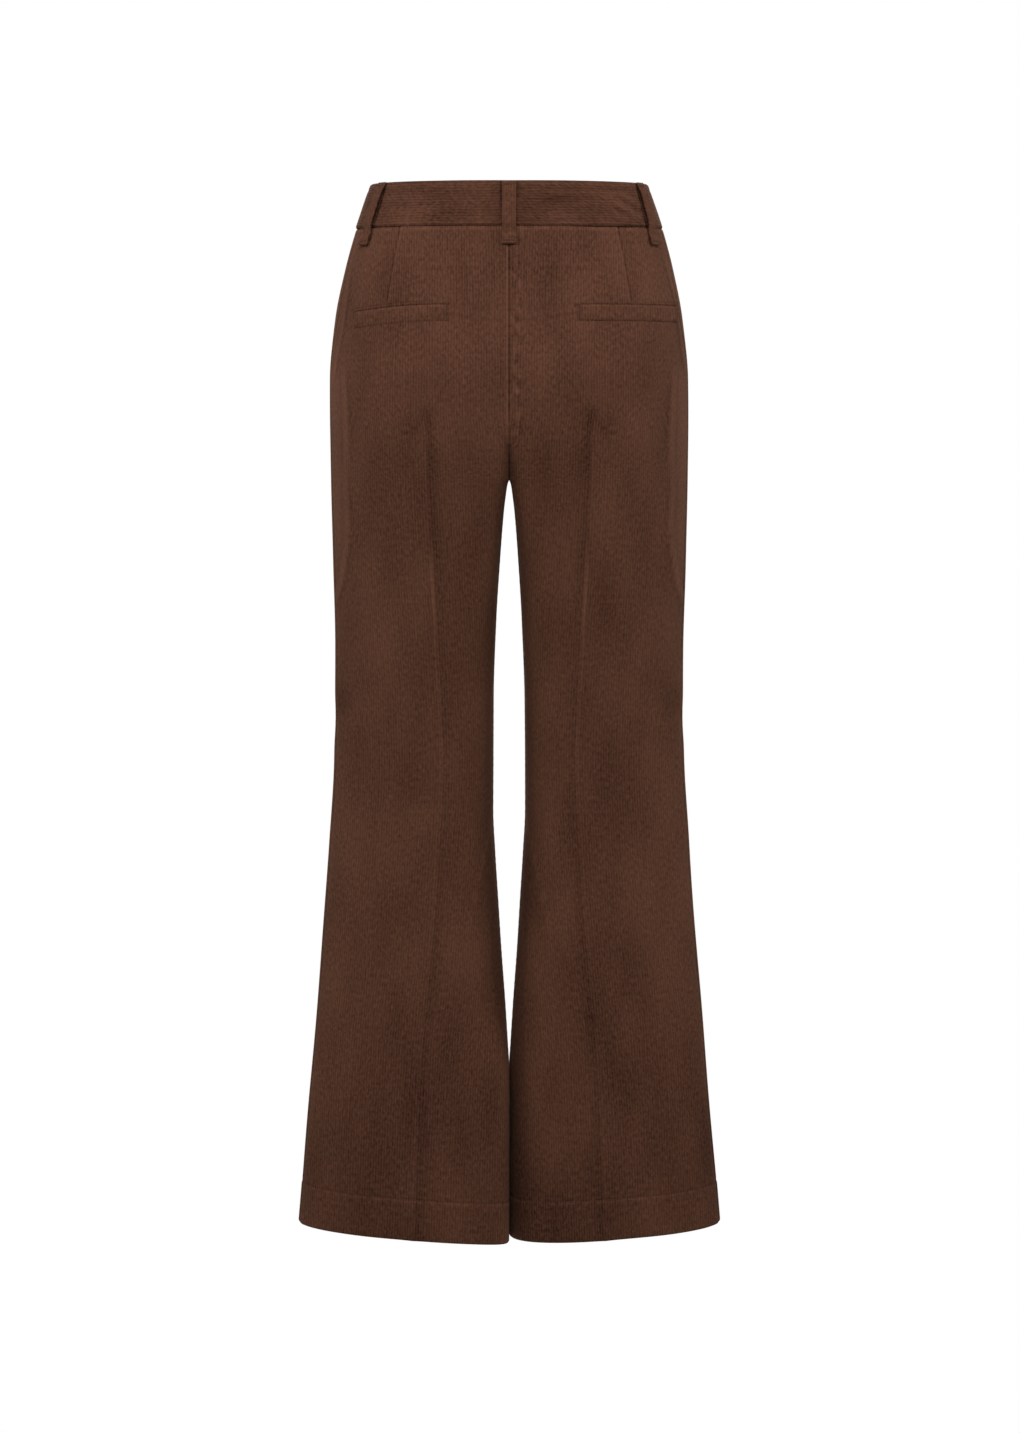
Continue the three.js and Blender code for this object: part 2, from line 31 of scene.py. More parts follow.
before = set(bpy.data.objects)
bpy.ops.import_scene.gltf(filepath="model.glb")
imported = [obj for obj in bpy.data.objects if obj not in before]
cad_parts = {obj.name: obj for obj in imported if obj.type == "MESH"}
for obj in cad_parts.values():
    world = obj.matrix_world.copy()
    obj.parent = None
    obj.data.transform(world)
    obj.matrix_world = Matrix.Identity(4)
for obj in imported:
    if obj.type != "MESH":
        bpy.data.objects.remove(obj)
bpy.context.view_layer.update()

MM = 0.001
UP, DOWN = 1, -1
LEFT, RIGHT = 1, -1

# Cloth and heights
CLOTH = 1.4
BAND_TOP = 21
BAND_SEAM = -22
PANEL_TOP = -22.3
CREASE_TOP = -205
DART_TIP = -98
CROTCH = -266
HEM = -1027
HEM_DEPTH = 42
HEM_TILT = 8
FRONT_DIP = 9
JOIN = -0.06  # sewn edges run into each other by this much

# Level sections of the left half
SECTIONS = [
    dict(z=24, outer=134.5, crown=20, back=96, front=92, side=0, full=2),
    dict(z=-22, outer=150.8, crown=32, back=101, front=97, side=0, full=2),
    dict(z=-60, outer=161.3, crown=48, back=108, front=100, side=1, full=2),
    dict(z=-110, outer=171.2, crown=66, back=117, front=102.5, side=2, full=2),
    dict(z=-170, outer=176.6, crown=78, back=124, front=104, side=3, full=2),
    dict(z=-220, outer=177.1, crown=80, back=124, front=103, side=3, full=2),
    dict(z=-266, outer=176.9, crown=79, back=117, front=99, side=3, full=2),
    dict(z=-350, outer=175.1, crown=75, back=99, front=93, side=2, full=2),
    dict(z=-430, outer=173.4, crown=71, back=82, front=84, side=-1, full=2),
    dict(z=-545, outer=174.8, crown=67, back=63, front=70, side=-4, full=2.05),
    dict(z=-630, outer=180.5, crown=71, back=57.5, front=64.5, side=-4, full=2.1),
    dict(z=-735, outer=188.3, crown=79, back=54, front=59.5, side=-3, full=2.15),
    dict(z=-840, outer=197.1, crown=89, back=52.5, front=57, side=-2, full=2.2),
    dict(z=-915, outer=203.5, crown=93, back=51, front=55, side=-2, full=2.25),
    dict(z=-1030, outer=213.3, crown=97, back=50, front=53, side=-2, full=2.35),
]

# The darts and creases, as distances from the middle
LINES = [
    dict(z=24, back=103, front=66),
    dict(z=-22, back=105.5, front=70),
    dict(z=-60, back=112, front=73),
    dict(z=-110, back=118, front=76),
    dict(z=-170, back=90, front=78),
    dict(z=-220, back=80, front=80),
    dict(z=-266, back=79, front=79),
    dict(z=-350, back=75, front=75),
    dict(z=-430, back=71, front=71),
    dict(z=-545, back=67, front=67),
    dict(z=-630, back=71, front=71),
    dict(z=-735, back=79, front=79),
    dict(z=-840, back=89, front=89),
    dict(z=-915, back=93, front=93),
    dict(z=-1030, back=97, front=97),
]

# Half of the gap between the legs, and where the inseam runs
INSEAM = [
    dict(z=-266, half=0.1, depth=-6),
    dict(z=-270, half=1.7, depth=-6),
    dict(z=-280, half=3.1, depth=-6),
    dict(z=-309, half=6.0, depth=-5),
    dict(z=-350, half=9.1, depth=-4),
    dict(z=-410, half=13.0, depth=-3),
    dict(z=-490, half=15.8, depth=-3),
    dict(z=-600, half=16.0, depth=-4),
    dict(z=-640, half=14.1, depth=-4),
    dict(z=-691, half=11.1, depth=-4),
    dict(z=-742, half=8.1, depth=-3),
    dict(z=-793, half=4.3, depth=-3),
    dict(z=-838, half=1.2, depth=-2),
    dict(z=-858, half=-0.03, depth=-2),
    dict(z=-1030, half=-0.03, depth=-2),
]

# How round a section is between its crown and its inner end: 1 is an ellipse, and less is a fuller corner
CORNER = [
    dict(z=-266, round=0.1),
    dict(z=-285, round=0.13),
    dict(z=-320, round=0.18),
    dict(z=-400, round=0.28),
    dict(z=-480, round=0.45),
    dict(z=-600, round=0.8),
    dict(z=-720, round=1),
]

# Above the crotch the dip beside the centre seam keeps its depth at first and then gets shallower
SEAM_DIP = dict(shallower=0.45, over=40, roundest=1.2)

SIDE_SEAM = [
    dict(z=24, behind=18),
    dict(z=-60, behind=27),
    dict(z=-105, behind=33),
    dict(z=-165, behind=23),
    dict(z=-300, behind=24),
    dict(z=-545, behind=14),
    dict(z=-1030, behind=10),
]

RISE = dict(
    back=dict(height=62, share=0.99, square=2.2),
    front=dict(height=62, share=1.05, square=2.2),
)
LAP = dict(top=-740, low=-880, left=8, right=-8)

# Soft folds: centre, half lengths, tilt in degrees, depth. side is 0 where both legs have the fold.
FOLDS = [
    dict(face="back", side=0, x=163, z=-486, long=34, wide=13, tilt=-28, depth=-3.2),
    dict(face="back", side=0, x=158, z=-515, long=30, wide=16, tilt=-20, depth=2.0),
    dict(face="back", side=0, x=74, z=-245, long=62, wide=12, tilt=84, depth=-2.6),
    dict(face="back", side=0, x=34, z=-205, long=60, wide=22, tilt=74, depth=2.4),
    dict(face="back", side=0, x=36, z=-300, long=60, wide=18, tilt=70, depth=-2.2),
    dict(face="front", side=0, x=62, z=-212, long=55, wide=20, tilt=38, depth=-2.2),
    dict(face="front", side=0, x=42, z=-246, long=45, wide=18, tilt=30, depth=-1.8),
    dict(face="front", side=0, x=150, z=-500, long=36, wide=16, tilt=-24, depth=-2.8),
    dict(face="front", side=0, x=46, z=-520, long=32, wide=16, tilt=22, depth=-2.4),
]

BELT_LOOP = dict(wide=14, thick=1.8, slack=1.8, top=20.5, low=-40, fold=-31)
# A loop's middle at its top and low end, as a share of the half width there
LOOP_PLACES = {
    "left": dict(face="back", top=0.895, low=0.9),
    "right": dict(face="back", top=0.925, low=0.9),
    "front": dict(face="front", top=0.56, low=0.57),
}
BAND = dict(proud=0.8, thick=3.2, underlap=32, gap=0.7, overlap=2)
WELT_TOP, WELT_TALL = -97, 15.5
WELTS = {
    LEFT: dict(inner=59, outer=150, drop=7, low_edge=0.4),
    RIGHT: dict(inner=67, outer=164, drop=1, low_edge=0.8),
}
FLY = dict(wide=38, long=172, corner=36, edge=0.6)
BUTTON = dict(radius=9, thick=3.4, x=12)


def smooth(low, high, x):
    t = np.clip((np.asarray(x, float) - low) / (high - low), 0, 1)
    return t * t * (3 - 2 * t)


def bell(x, width):
    return np.exp(-((np.asarray(x, float) / width) ** 2))


# A table's value at a height, on the same smooth curve as the solids
def at(table, column, z):
    if z >= table[0]["z"]:
        return table[0][column]
    if z <= table[-1]["z"]:
        return table[-1][column]
    i = next(k for k, row in enumerate(table) if row["z"] < z) - 1

    def slope(k):
        return (table[k + 1][column] - table[k][column]) / (table[k + 1]["z"] - table[k]["z"])

    def tangent(k):
        if k == 0:
            return slope(0)
        if k == len(table) - 1:
            return slope(k - 1)
        a, b = slope(k - 1), slope(k)
        return 0 if a * b <= 0 else 2 * a * b / (a + b)

    step = table[i + 1]["z"] - table[i]["z"]
    t = (z - table[i]["z"]) / step
    return (
        table[i][column] * (1 + 2 * t) * (1 - t) ** 2
        + tangent(i) * step * t * (1 - t) ** 2
        + table[i + 1][column] * t * t * (3 - 2 * t)
        + tangent(i + 1) * step * t * t * (t - 1)
    )


# Where a section meets the inseam, or the centre seam above the crotch
def inner_end(z, face, side):
    sign = 1 if face == "back" else -1
    if z > CROTCH:
        rise = RISE[face]
        t = min(1, (z - CROTCH) / rise["height"])
        deep = sign * at(SECTIONS, face, z) * rise["share"]
        depth = INSEAM[0]["depth"]
        run = (1 - (1 - t) ** rise["square"]) ** (1 / rise["square"])
        return INSEAM[0]["half"], depth + (deep - depth) * run
    shift = (LAP["left"] if side > 0 else LAP["right"]) * float(smooth(LAP["top"], LAP["low"], z))
    return at(INSEAM, "half", z), at(INSEAM, "depth", z) + shift


# How round the corner is at a height, where the seam lies at end_y in a section this deep
def corner_round(z, face, deep, end_y):
    round_here = at(CORNER, "round", z)
    if z <= CROTCH:
        return round_here
    sign = 1 if face == "back" else -1
    at_crotch = at(SECTIONS, face, CROTCH) - sign * INSEAM[0]["depth"]
    here = max(1, sign * (deep - end_y))
    fading = 1 - SEAM_DIP["shallower"] * float(smooth(CROTCH, CROTCH + SEAM_DIP["over"], z))
    wanted = round_here * at_crotch / here * fading
    return wanted / (1 + (wanted / SEAM_DIP["roundest"]) ** 3) ** (1 / 3)


def face_points(z, face, side):
    sign = 1 if face == "back" else -1
    outer, crown, middle, full = (at(SECTIONS, c, z) for c in ("outer", "crown", "side", "full"))
    deep = sign * at(SECTIONS, face, z)
    end_x, end_y = inner_end(z, face, side)
    a = np.linspace(0, math.pi / 2, 121)
    cos, sin = np.clip(np.cos(a), 0, 1), np.sin(a)
    out_x = crown + (outer - crown) * cos ** (2 / full)
    out_y = middle + (deep - middle) * sin ** (2 / full)
    power = 2 / full * corner_round(z, face, deep, end_y)
    if face == "back" and side > 0:
        power *= 1 - 0.6 * float(smooth(-780, -860, z))  # where the legs touch, the left one lies on the right one
    in_x = crown - (crown - end_x) * sin ** (2 / full)
    in_y = end_y + (deep - end_y) * cos**power
    return np.concatenate([out_x, in_x[1:]]), np.concatenate([out_y, in_y[1:]])


# A half section, measured along the cloth from its widest point: the back counts up and the front down
def section(z, side):
    lines = {}
    for face, sign in (("back", 1), ("front", -1)):
        x, y = face_points(z, face, side)
        along = np.concatenate([[0], np.cumsum(np.hypot(np.diff(x), np.diff(y)))])
        lines[face] = (x, y, sign * along)
    (bx, by, ba), (fx, fy, fa) = lines["back"], lines["front"]
    return SimpleNamespace(
        x=np.concatenate([fx[:0:-1], bx]),
        y=np.concatenate([fy[:0:-1], by]),
        along=np.concatenate([fa[:0:-1], ba]),
        faces=lines,
    )


def along_at_x(line, face, x):
    xs, _, along = line.faces[face]
    return np.interp(x, xs[::-1], along[::-1])


# Where a belt loop's middle lies, along the cloth from the centre back
def loop_place(place, z):
    low = BELT_LOOP["low"]
    share = place["low"] + (place["top"] - place["low"]) * (z - low) / (BAND_TOP - low)
    line = section(z, LEFT)
    return line.along[-1] - along_at_x(line, place["face"], share * at(SECTIONS, "outer", z))


# The hems tilt and the front of the waist dips
def raised(z, x, y):
    hem = smooth(-700, HEM, z) * HEM_TILT * ((np.abs(x) - 106) / 106)
    dip = smooth(-160, BAND_SEAM, z) * FRONT_DIP * np.maximum(0, -y / 97) ** 2
    return z + hem - dip


# Uneven but fixed waves, for cloth that isn't quite smooth
def drift(x, z, size, seed, waves=9):
    random = np.random.default_rng(seed)
    total = np.zeros(np.broadcast(x, z).shape)
    for _ in range(waves):
        turn = random.uniform(0, math.pi)
        rate = 2 * math.pi / (size * random.uniform(0.7, 1.6))
        total += np.sin(rate * (np.cos(turn) * x + 0.5 * np.sin(turn) * z) + random.uniform(0, 6.28))
    return total / math.sqrt(waves)


def normals_of(points, across, turn):
    down = np.gradient(points, axis=0)
    normal = np.cross(across, down) * turn
    return normal / np.linalg.norm(normal, axis=2, keepdims=True)


def to_linear(code):
    values = [int(code[i:i + 2], 16) / 255 for i in (1, 3, 5)]
    return [v / 12.92 if v <= 0.04045 else ((v + 0.055) / 1.055) ** 2.4 for v in values] + [1.0]


def node(tree, kind, inputs=None, **settings):
    made = tree.nodes.new(kind)
    for key, value in settings.items():
        setattr(made, key, value)
    for key, value in (inputs or {}).items():
        if isinstance(value, bpy.types.NodeSocket):
            tree.links.new(value, made.inputs[key])
        else:
            made.inputs[key].default_value = value
    return made


# A closed wall of cloth between an outer and an inner grid of points
def shell(name, outer, inner, uv, turn, material, nap_and_painted_shading=None):
    rows, columns = outer.shape[:2]
    points = np.concatenate([outer.reshape(-1, 3), inner.reshape(-1, 3)]) * MM
    index = np.arange(rows * columns).reshape(rows, columns)
    under = index + rows * columns

    def quads(a, b, c, d):
        return np.stack([a.ravel(), b.ravel(), c.ravel(), d.ravel()], 1)

    faces = np.concatenate([
        quads(index[:-1, :-1], index[:-1, 1:], index[1:, 1:], index[1:, :-1]),
        quads(under[:-1, :-1], under[1:, :-1], under[1:, 1:], under[:-1, 1:]),
        quads(index[:-1, 0], index[1:, 0], under[1:, 0], under[:-1, 0]),
        quads(index[:-1, -1], under[:-1, -1], under[1:, -1], index[1:, -1]),
        quads(index[0, :-1], under[0, :-1], under[0, 1:], index[0, 1:]),
        quads(index[-1, :-1], index[-1, 1:], under[-1, 1:], under[-1, :-1]),
    ])
    if turn < 0:
        faces = faces[:, ::-1]
    mesh = bpy.data.meshes.new(name)
    mesh.from_pydata(points.tolist(), [], faces.tolist())
    layer = mesh.uv_layers.new(name="cloth")
    spots = np.concatenate([uv.reshape(-1, 2)] * 2) * MM
    corners = np.empty(len(mesh.loops), np.int32)
    mesh.loops.foreach_get("vertex_index", corners)
    layer.data.foreach_set("uv", spots[corners].ravel())
    lie_and_shading = mesh.attributes.new("nap_and_painted_shading", "FLOAT", "POINT")
    lie_and_shading.data.foreach_set("value", np.zeros(len(points)) if nap_and_painted_shading is None else np.tile(nap_and_painted_shading.ravel(), 2))
    mesh.polygons.foreach_set("use_smooth", [True] * len(mesh.polygons))
    mesh.set_sharp_from_angle(angle=math.radians(50))
    mesh.materials.append(material)
    made = bpy.data.objects.new(name, mesh)
    bpy.context.collection.objects.link(made)
    return made


# Corduroy

# Fine-wale cotton corduroy: cut pile in narrow ridges, matt where it faces you and pale where it turns away.
# Its wale is 1.6 mm. It is drawn at 2.6 mm so that it shows at this size of picture.
WALE = 2.6 * MM


def corduroy():
    material = bpy.data.materials.new("needlecord_brown")
    material.use_nodes = True
    tree = material.node_tree
    tree.nodes.clear()

    def maths(operation, a, b=0.0, c=0.0):
        return node(tree, "ShaderNodeMath", {0: a, 1: b, 2: c}, operation=operation).outputs[0]

    cloth = node(tree, "ShaderNodeUVMap", uv_map="cloth").outputs[0]
    place = node(tree, "ShaderNodeTexCoord").outputs["Object"]

    def noise(vector, scale, detail=2.0, stretch=(1, 1, 1)):
        spread = node(tree, "ShaderNodeMapping", {"Vector": vector, "Scale": stretch}).outputs[0]
        inputs = {"Vector": spread, "Scale": scale, "Detail": detail, "Roughness": 0.6}
        return node(tree, "ShaderNodeTexNoise", inputs).outputs["Fac"]

    # Each wale wavers by a tenth of its width, and the pile lies in short streaks along it
    waver = noise(cloth, 60, 1.0, (1, 0.3, 1))
    across = node(tree, "ShaderNodeSeparateXYZ", {0: cloth}).outputs[0]
    phase = maths("MULTIPLY_ADD", across, 2 * math.pi / WALE, maths("MULTIPLY", waver, 5.0))
    wale = maths("MULTIPLY_ADD", maths("COSINE", phase), 0.5, 0.5)
    streaks = noise(cloth, 1 / (2.2 * MM), 3.0, (1, 0.5, 1))
    specks = noise(cloth, 1 / (3.6 * MM), 3.0, (1, 0.8, 1))
    patches = noise(place, 1 / (55 * MM), 3.0, (1, 1, 0.5))
    lie_and_shading = node(tree, "ShaderNodeAttribute", attribute_name="nap_and_painted_shading").outputs["Fac"]

    # How light the pile looks where it lies one way or the other, with the painted light and shade from the mesh
    # attribute added in
    tone = maths("MULTIPLY_ADD", wale, 0.17, -0.485)
    for part, much in ((streaks, 0.85), (specks, 0.65), (patches, 0.3), (lie_and_shading, 1.0)):
        tone = maths("MULTIPLY_ADD", part, much, tone)
    tone = node(tree, "ShaderNodeClamp", {"Value": tone}).outputs[0]
    ramp = node(tree, "ShaderNodeValToRGB", {"Fac": tone})
    ramp.color_ramp.elements[0].color = to_linear("#261006")
    ramp.color_ramp.elements[1].color = to_linear("#684433")

    height = maths("MULTIPLY_ADD", wale, 0.55, maths("MULTIPLY", streaks, 0.5))
    bump = node(tree, "ShaderNodeBump", {"Height": height, "Strength": 0.6, "Distance": 0.35 * MM})
    soft = node(tree, "ShaderNodeBump", {
        "Height": specks, "Strength": 0.6, "Distance": 0.6 * MM, "Normal": bump.outputs[0]})
    skin = node(tree, "ShaderNodeBsdfPrincipled", {
        "Base Color": ramp.outputs["Color"], "Normal": soft.outputs[0], "Roughness": 0.92, "IOR": 1.5,
        "Specular IOR Level": 0.12, "Sheen Weight": 0.12, "Sheen Roughness": 0.4,
        "Sheen Tint": to_linear("#c79a80")})
    node(tree, "ShaderNodeOutputMaterial", {"Surface": skin.outputs[0]})
    return material


# Spun polyester sewing thread, two-ply: a soft shine along its twist
def sewing_thread():
    material = bpy.data.materials.new("thread_brown")
    material.use_nodes = True
    tree = material.node_tree
    tree.nodes.clear()
    place = node(tree, "ShaderNodeTexCoord").outputs["Object"]
    twist = node(tree, "ShaderNodeTexNoise", {"Vector": place, "Scale": 1 / (0.8 * MM), "Detail": 1.0})
    ramp = node(tree, "ShaderNodeValToRGB", {"Fac": twist.outputs["Fac"]})
    ramp.color_ramp.elements[0].color = to_linear("#3d2416")
    ramp.color_ramp.elements[1].color = to_linear("#5c3a28")
    bump = node(tree, "ShaderNodeBump", {"Height": twist.outputs["Fac"], "Strength": 0.4, "Distance": 0.1 * MM})
    skin = node(tree, "ShaderNodeBsdfPrincipled", {
        "Base Color": ramp.outputs["Color"], "Normal": bump.outputs[0], "Roughness": 0.7, "IOR": 1.54,
        "Specular IOR Level": 0.2})
    node(tree, "ShaderNodeOutputMaterial", {"Surface": skin.outputs[0]})
    return material


# Cast polyester button, turned and polished to look like horn: clouded, with a soft gloss
def horn_button():
    material = bpy.data.materials.new("horn_look_polyester")
    material.use_nodes = True
    tree = material.node_tree
    tree.nodes.clear()
    place = node(tree, "ShaderNodeTexCoord").outputs["Object"]
    spread = node(tree, "ShaderNodeMapping", {"Vector": place, "Scale": (1, 1, 0.35)}).outputs[0]
    cloud = node(tree, "ShaderNodeTexNoise", {"Vector": spread, "Scale": 1 / (4 * MM), "Detail": 4.0})
    ramp = node(tree, "ShaderNodeValToRGB", {"Fac": cloud.outputs["Fac"]})
    ramp.color_ramp.elements[0].position = 0.35
    ramp.color_ramp.elements[0].color = to_linear("#1d110b")
    ramp.color_ramp.elements[1].position = 0.75
    ramp.color_ramp.elements[1].color = to_linear("#5a3a28")
    skin = node(tree, "ShaderNodeBsdfPrincipled", {
        "Base Color": ramp.outputs["Color"], "Roughness": 0.28, "IOR": 1.56})
    node(tree, "ShaderNodeOutputMaterial", {"Surface": skin.outputs[0]})
    return material


CORD = corduroy()
THREAD = sewing_thread()
HORN = horn_button()


# Panels

# Steps that are close together at both ends
def closer_at_ends(count, much=0.72):
    t = np.linspace(0, 1, count + 1)
    return t - much * np.sin(2 * math.pi * t) / (2 * math.pi)


def panel_heights():
    near = CROTCH + np.array([34, 28, 23, 18.5, 14.5, 11, 8, 5.5, 3.5, 2, 1, 0.35])
    below = CROTCH - np.array([0, 0.5, 1.5, 3, 5, 7.5, 10.5, 14, 18, 22.5, 27.5, 33])
    rows = [
        np.array([PANEL_TOP, PANEL_TOP - 0.7, PANEL_TOP - 1.6, PANEL_TOP - 2.8]),
        np.arange(PANEL_TOP - 5, -94, -3.0),
        np.arange(-95, -121, -1.1),
        np.arange(-123, CROTCH + 37, -3.0),
        near,
        below,
        np.arange(CROTCH - 37, HEM + HEM_DEPTH + 5, -3.4),
        HEM + HEM_DEPTH + np.array([3, 1.6, 0.8, 0, -0.8, -1.6, -3]),
        np.arange(HEM + HEM_DEPTH - 6, HEM + 4, -3.2),
        HEM + np.array([2.4, 1.2, 0.5, 0]),
    ]
    return np.concatenate(rows)


HEIGHTS = panel_heights()


# The smooth surface of one panel, with each point's distances along the cloth
def panel_surface(face, side):
    sign = 1 if face == "back" else -1
    steps = np.concatenate([-closer_at_ends(36)[:0:-1], closer_at_ends(32)])
    got = {key: [] for key in ("point", "across", "from_side", "from_line", "from_inner", "wale")}
    for z in HEIGHTS:
        line = section(z, side)
        first, last = line.along[0], line.along[-1]
        seam = at(SIDE_SEAM, "behind", z) + sign * JOIN / 2
        fold = along_at_x(line, face, at(LINES, face, z))
        end = last if sign > 0 else first
        if z <= CROTCH:
            end -= sign * JOIN / 2
        along = fold + np.where(steps < 0, (seam - fold) * -steps, (end - fold) * steps)
        x, y = np.interp(along, line.along, line.x), np.interp(along, line.along, line.y)

        def near(offset):
            a = along + offset
            if z > CROTCH:
                a = np.clip(a, first, last)
            else:
                a = np.where(a > last, a - last + first, np.where(a < first, a - first + last, a))
            return np.interp(a, line.along, line.x), np.interp(a, line.along, line.y)

        (ax, ay), (bx, by) = near(-1.0 * sign), near(1.0 * sign)
        got["point"].append(np.stack([side * x, y, raised(z, x, y)], 1))
        got["across"].append(np.stack([side * (bx - ax), by - ay, 0 * x], 1))
        got["from_side"].append(sign * (along - seam))
        got["from_line"].append(sign * (along - fold))
        got["from_inner"].append(sign * (end - along))
        grain = along_at_x(line, face, at(LINES, face, min(z, CREASE_TOP)))
        got["wale"].append(sign * (along - grain))
    made = SimpleNamespace(**{key: np.array(value) for key, value in got.items()})
    made.face, made.side = face, side
    made.z = np.repeat(HEIGHTS[:, None], len(steps), 1)
    made.x = np.abs(made.point[..., 0])
    made.from_gap = made.x - np.array([[at(INSEAM, "half", z)] for z in HEIGHTS])
    made.turn = -side if face == "back" else side
    made.normal = normals_of(made.point, made.across, made.turn)
    return made


def fold_relief(s):
    total = np.zeros(s.x.shape)
    for f in FOLDS:
        if f["face"] != s.face or f["side"] not in (0, s.side):
            continue
        a = math.radians(f["tilt"])
        dx, dz = s.x - f["x"], s.z - f["z"]
        along = (dx * math.cos(a) + dz * math.sin(a)) / f["long"]
        across = (-dx * math.sin(a) + dz * math.cos(a)) / f["wide"]
        total += f["depth"] * np.exp(-along * along - across * across)
    return total * smooth(0, 22, s.from_inner) * smooth(0, 16, s.from_side)


# A sewn seam: the edges roll in, and the pressed-open turnings lift the cloth on each side of it
def seam_relief(distance, z, pucker=0.1):
    groove = -1.0 * bell(distance, 1.5)
    turning = 0.3 * smooth(1.5, 3.5, distance) * (1 - smooth(11, 15, distance))
    waves = pucker * np.sin(z / 1.35 + 2.2 * np.sin(z / 17)) * bell(distance - 3.5, 3)
    return groove + turning + waves


# How far a point lies outside the pocket's welt, and how far above the welt's top edge
def from_welt(s):
    size = WELTS[s.side]
    out = (s.x - size["inner"]) / (size["outer"] - size["inner"])
    top = WELT_TOP - size["drop"] * np.clip(out, 0, 1) ** 2
    aside = np.maximum(np.maximum(size["inner"] - s.x, s.x - size["outer"]), 0)
    over = np.maximum(np.maximum(s.z - top, top - WELT_TALL - s.z), 0)
    return np.hypot(aside, over), s.z - top


# How far a point lies beyond a line, which is given by points (z, x) down a panel
def beside(s, z, x):
    line = np.interp(-s.z, -np.array(z, float), np.array(x, float))
    return s.x - line


def panel_relief(s):
    total = fold_relief(s) + 0.4 * drift(s.point[..., 0], s.z, 90, 11)
    total += seam_relief(s.from_side, s.z)
    total += seam_relief(s.from_inner, s.z) * smooth(0, np.where(s.z > CROTCH, 90, 40), np.abs(s.z - CROTCH))

    # The pressed creases fade in under the seat
    pressed = smooth(CREASE_TOP, CREASE_TOP - 60, s.z)
    ridge = 1.5 * np.exp(-np.abs(s.from_line) / 7) + (0.2 + 0.2 * smooth(-600, -450, s.z)) * bell(s.from_line, 1.1)
    total += pressed * ridge
    if s.face == "back":
        # Above each crease the cloth dips, and the dip runs down along the crease's inner side
        dip = smooth(CREASE_TOP + 14, CREASE_TOP - 6, s.z) * smooth(-400, -290, s.z)
        total -= 1.5 * dip * bell(s.from_line - 5.5, 5)
        total += 0.7 * dip * bell(s.from_line + 4, 7)

        # The darts are laid towards the centre
        dart = smooth(DART_TIP - 4, DART_TIP + 14, s.z)
        total -= 1.0 * dart * bell(s.from_line, 1.2)
        total += 0.8 * dart * smooth(0.6, 2.6, s.from_line) * np.exp(-np.maximum(s.from_line, 0) / 14)
        total -= 0.5 * dart * bell(s.from_line + 9, 9)
        if s.side == RIGHT:
            part = smooth(-64, -56, s.z) * (1 - smooth(-38, -33, s.z))
            total += 0.5 * part * np.sin(s.z * 2 * math.pi / 5.2) * bell(s.from_line - 6, 5)

            # Both turnings of the centre back seam lie to this side
            run = smooth(CROTCH + 12, CROTCH + 50, s.z)
            lies = smooth(1, 2.5, s.from_inner) * (1 - smooth(12, 14.5, s.from_inner))
            total += run * lies * (0.5 + 0.25 * np.sin((s.z + s.from_inner) * 2 * math.pi / 6.5))

        # The cloth is cut and turned in round each pocket
        away, above = from_welt(s)
        total -= 0.6 * bell(away, 1.3) * (0.35 + 0.65 * smooth(-3, 0, above))

        # The pocket bags press through
        for level, low, high in ((-128, 74, 120), (-146, 70, 138)):
            bag = smooth(low, low + 8, s.x) * (1 - smooth(high - 8, high, s.x))
            total -= 0.35 * bell(s.z - level - 0.06 * (s.x - 100), 2.0) * bag

        # The side of the seat and thigh is flat, behind a soft edge
        strip = beside(s, (-150, -165, -325, -365, -395), (161, 157, 156, 162, 172))
        much = smooth(-150, -172, s.z) * smooth(-410, -370, s.z)
        total += 1.3 * much * np.exp(-np.abs(strip) / 4.5)
        total -= 0.5 * much * bell(strip - 7, 1.6)

    # The turned-up hem
    above = s.z - HEM
    total += 0.45 * (1 - smooth(HEM_DEPTH - 1, HEM_DEPTH + 2, above))
    total -= 0.7 * bell(above - HEM_DEPTH, 1.2)
    total -= 1.0 * bell(above, 1.0)

    # The edge goes in under the waistband
    total -= 0.9 * bell(s.z - PANEL_TOP, 1.3)
    return total
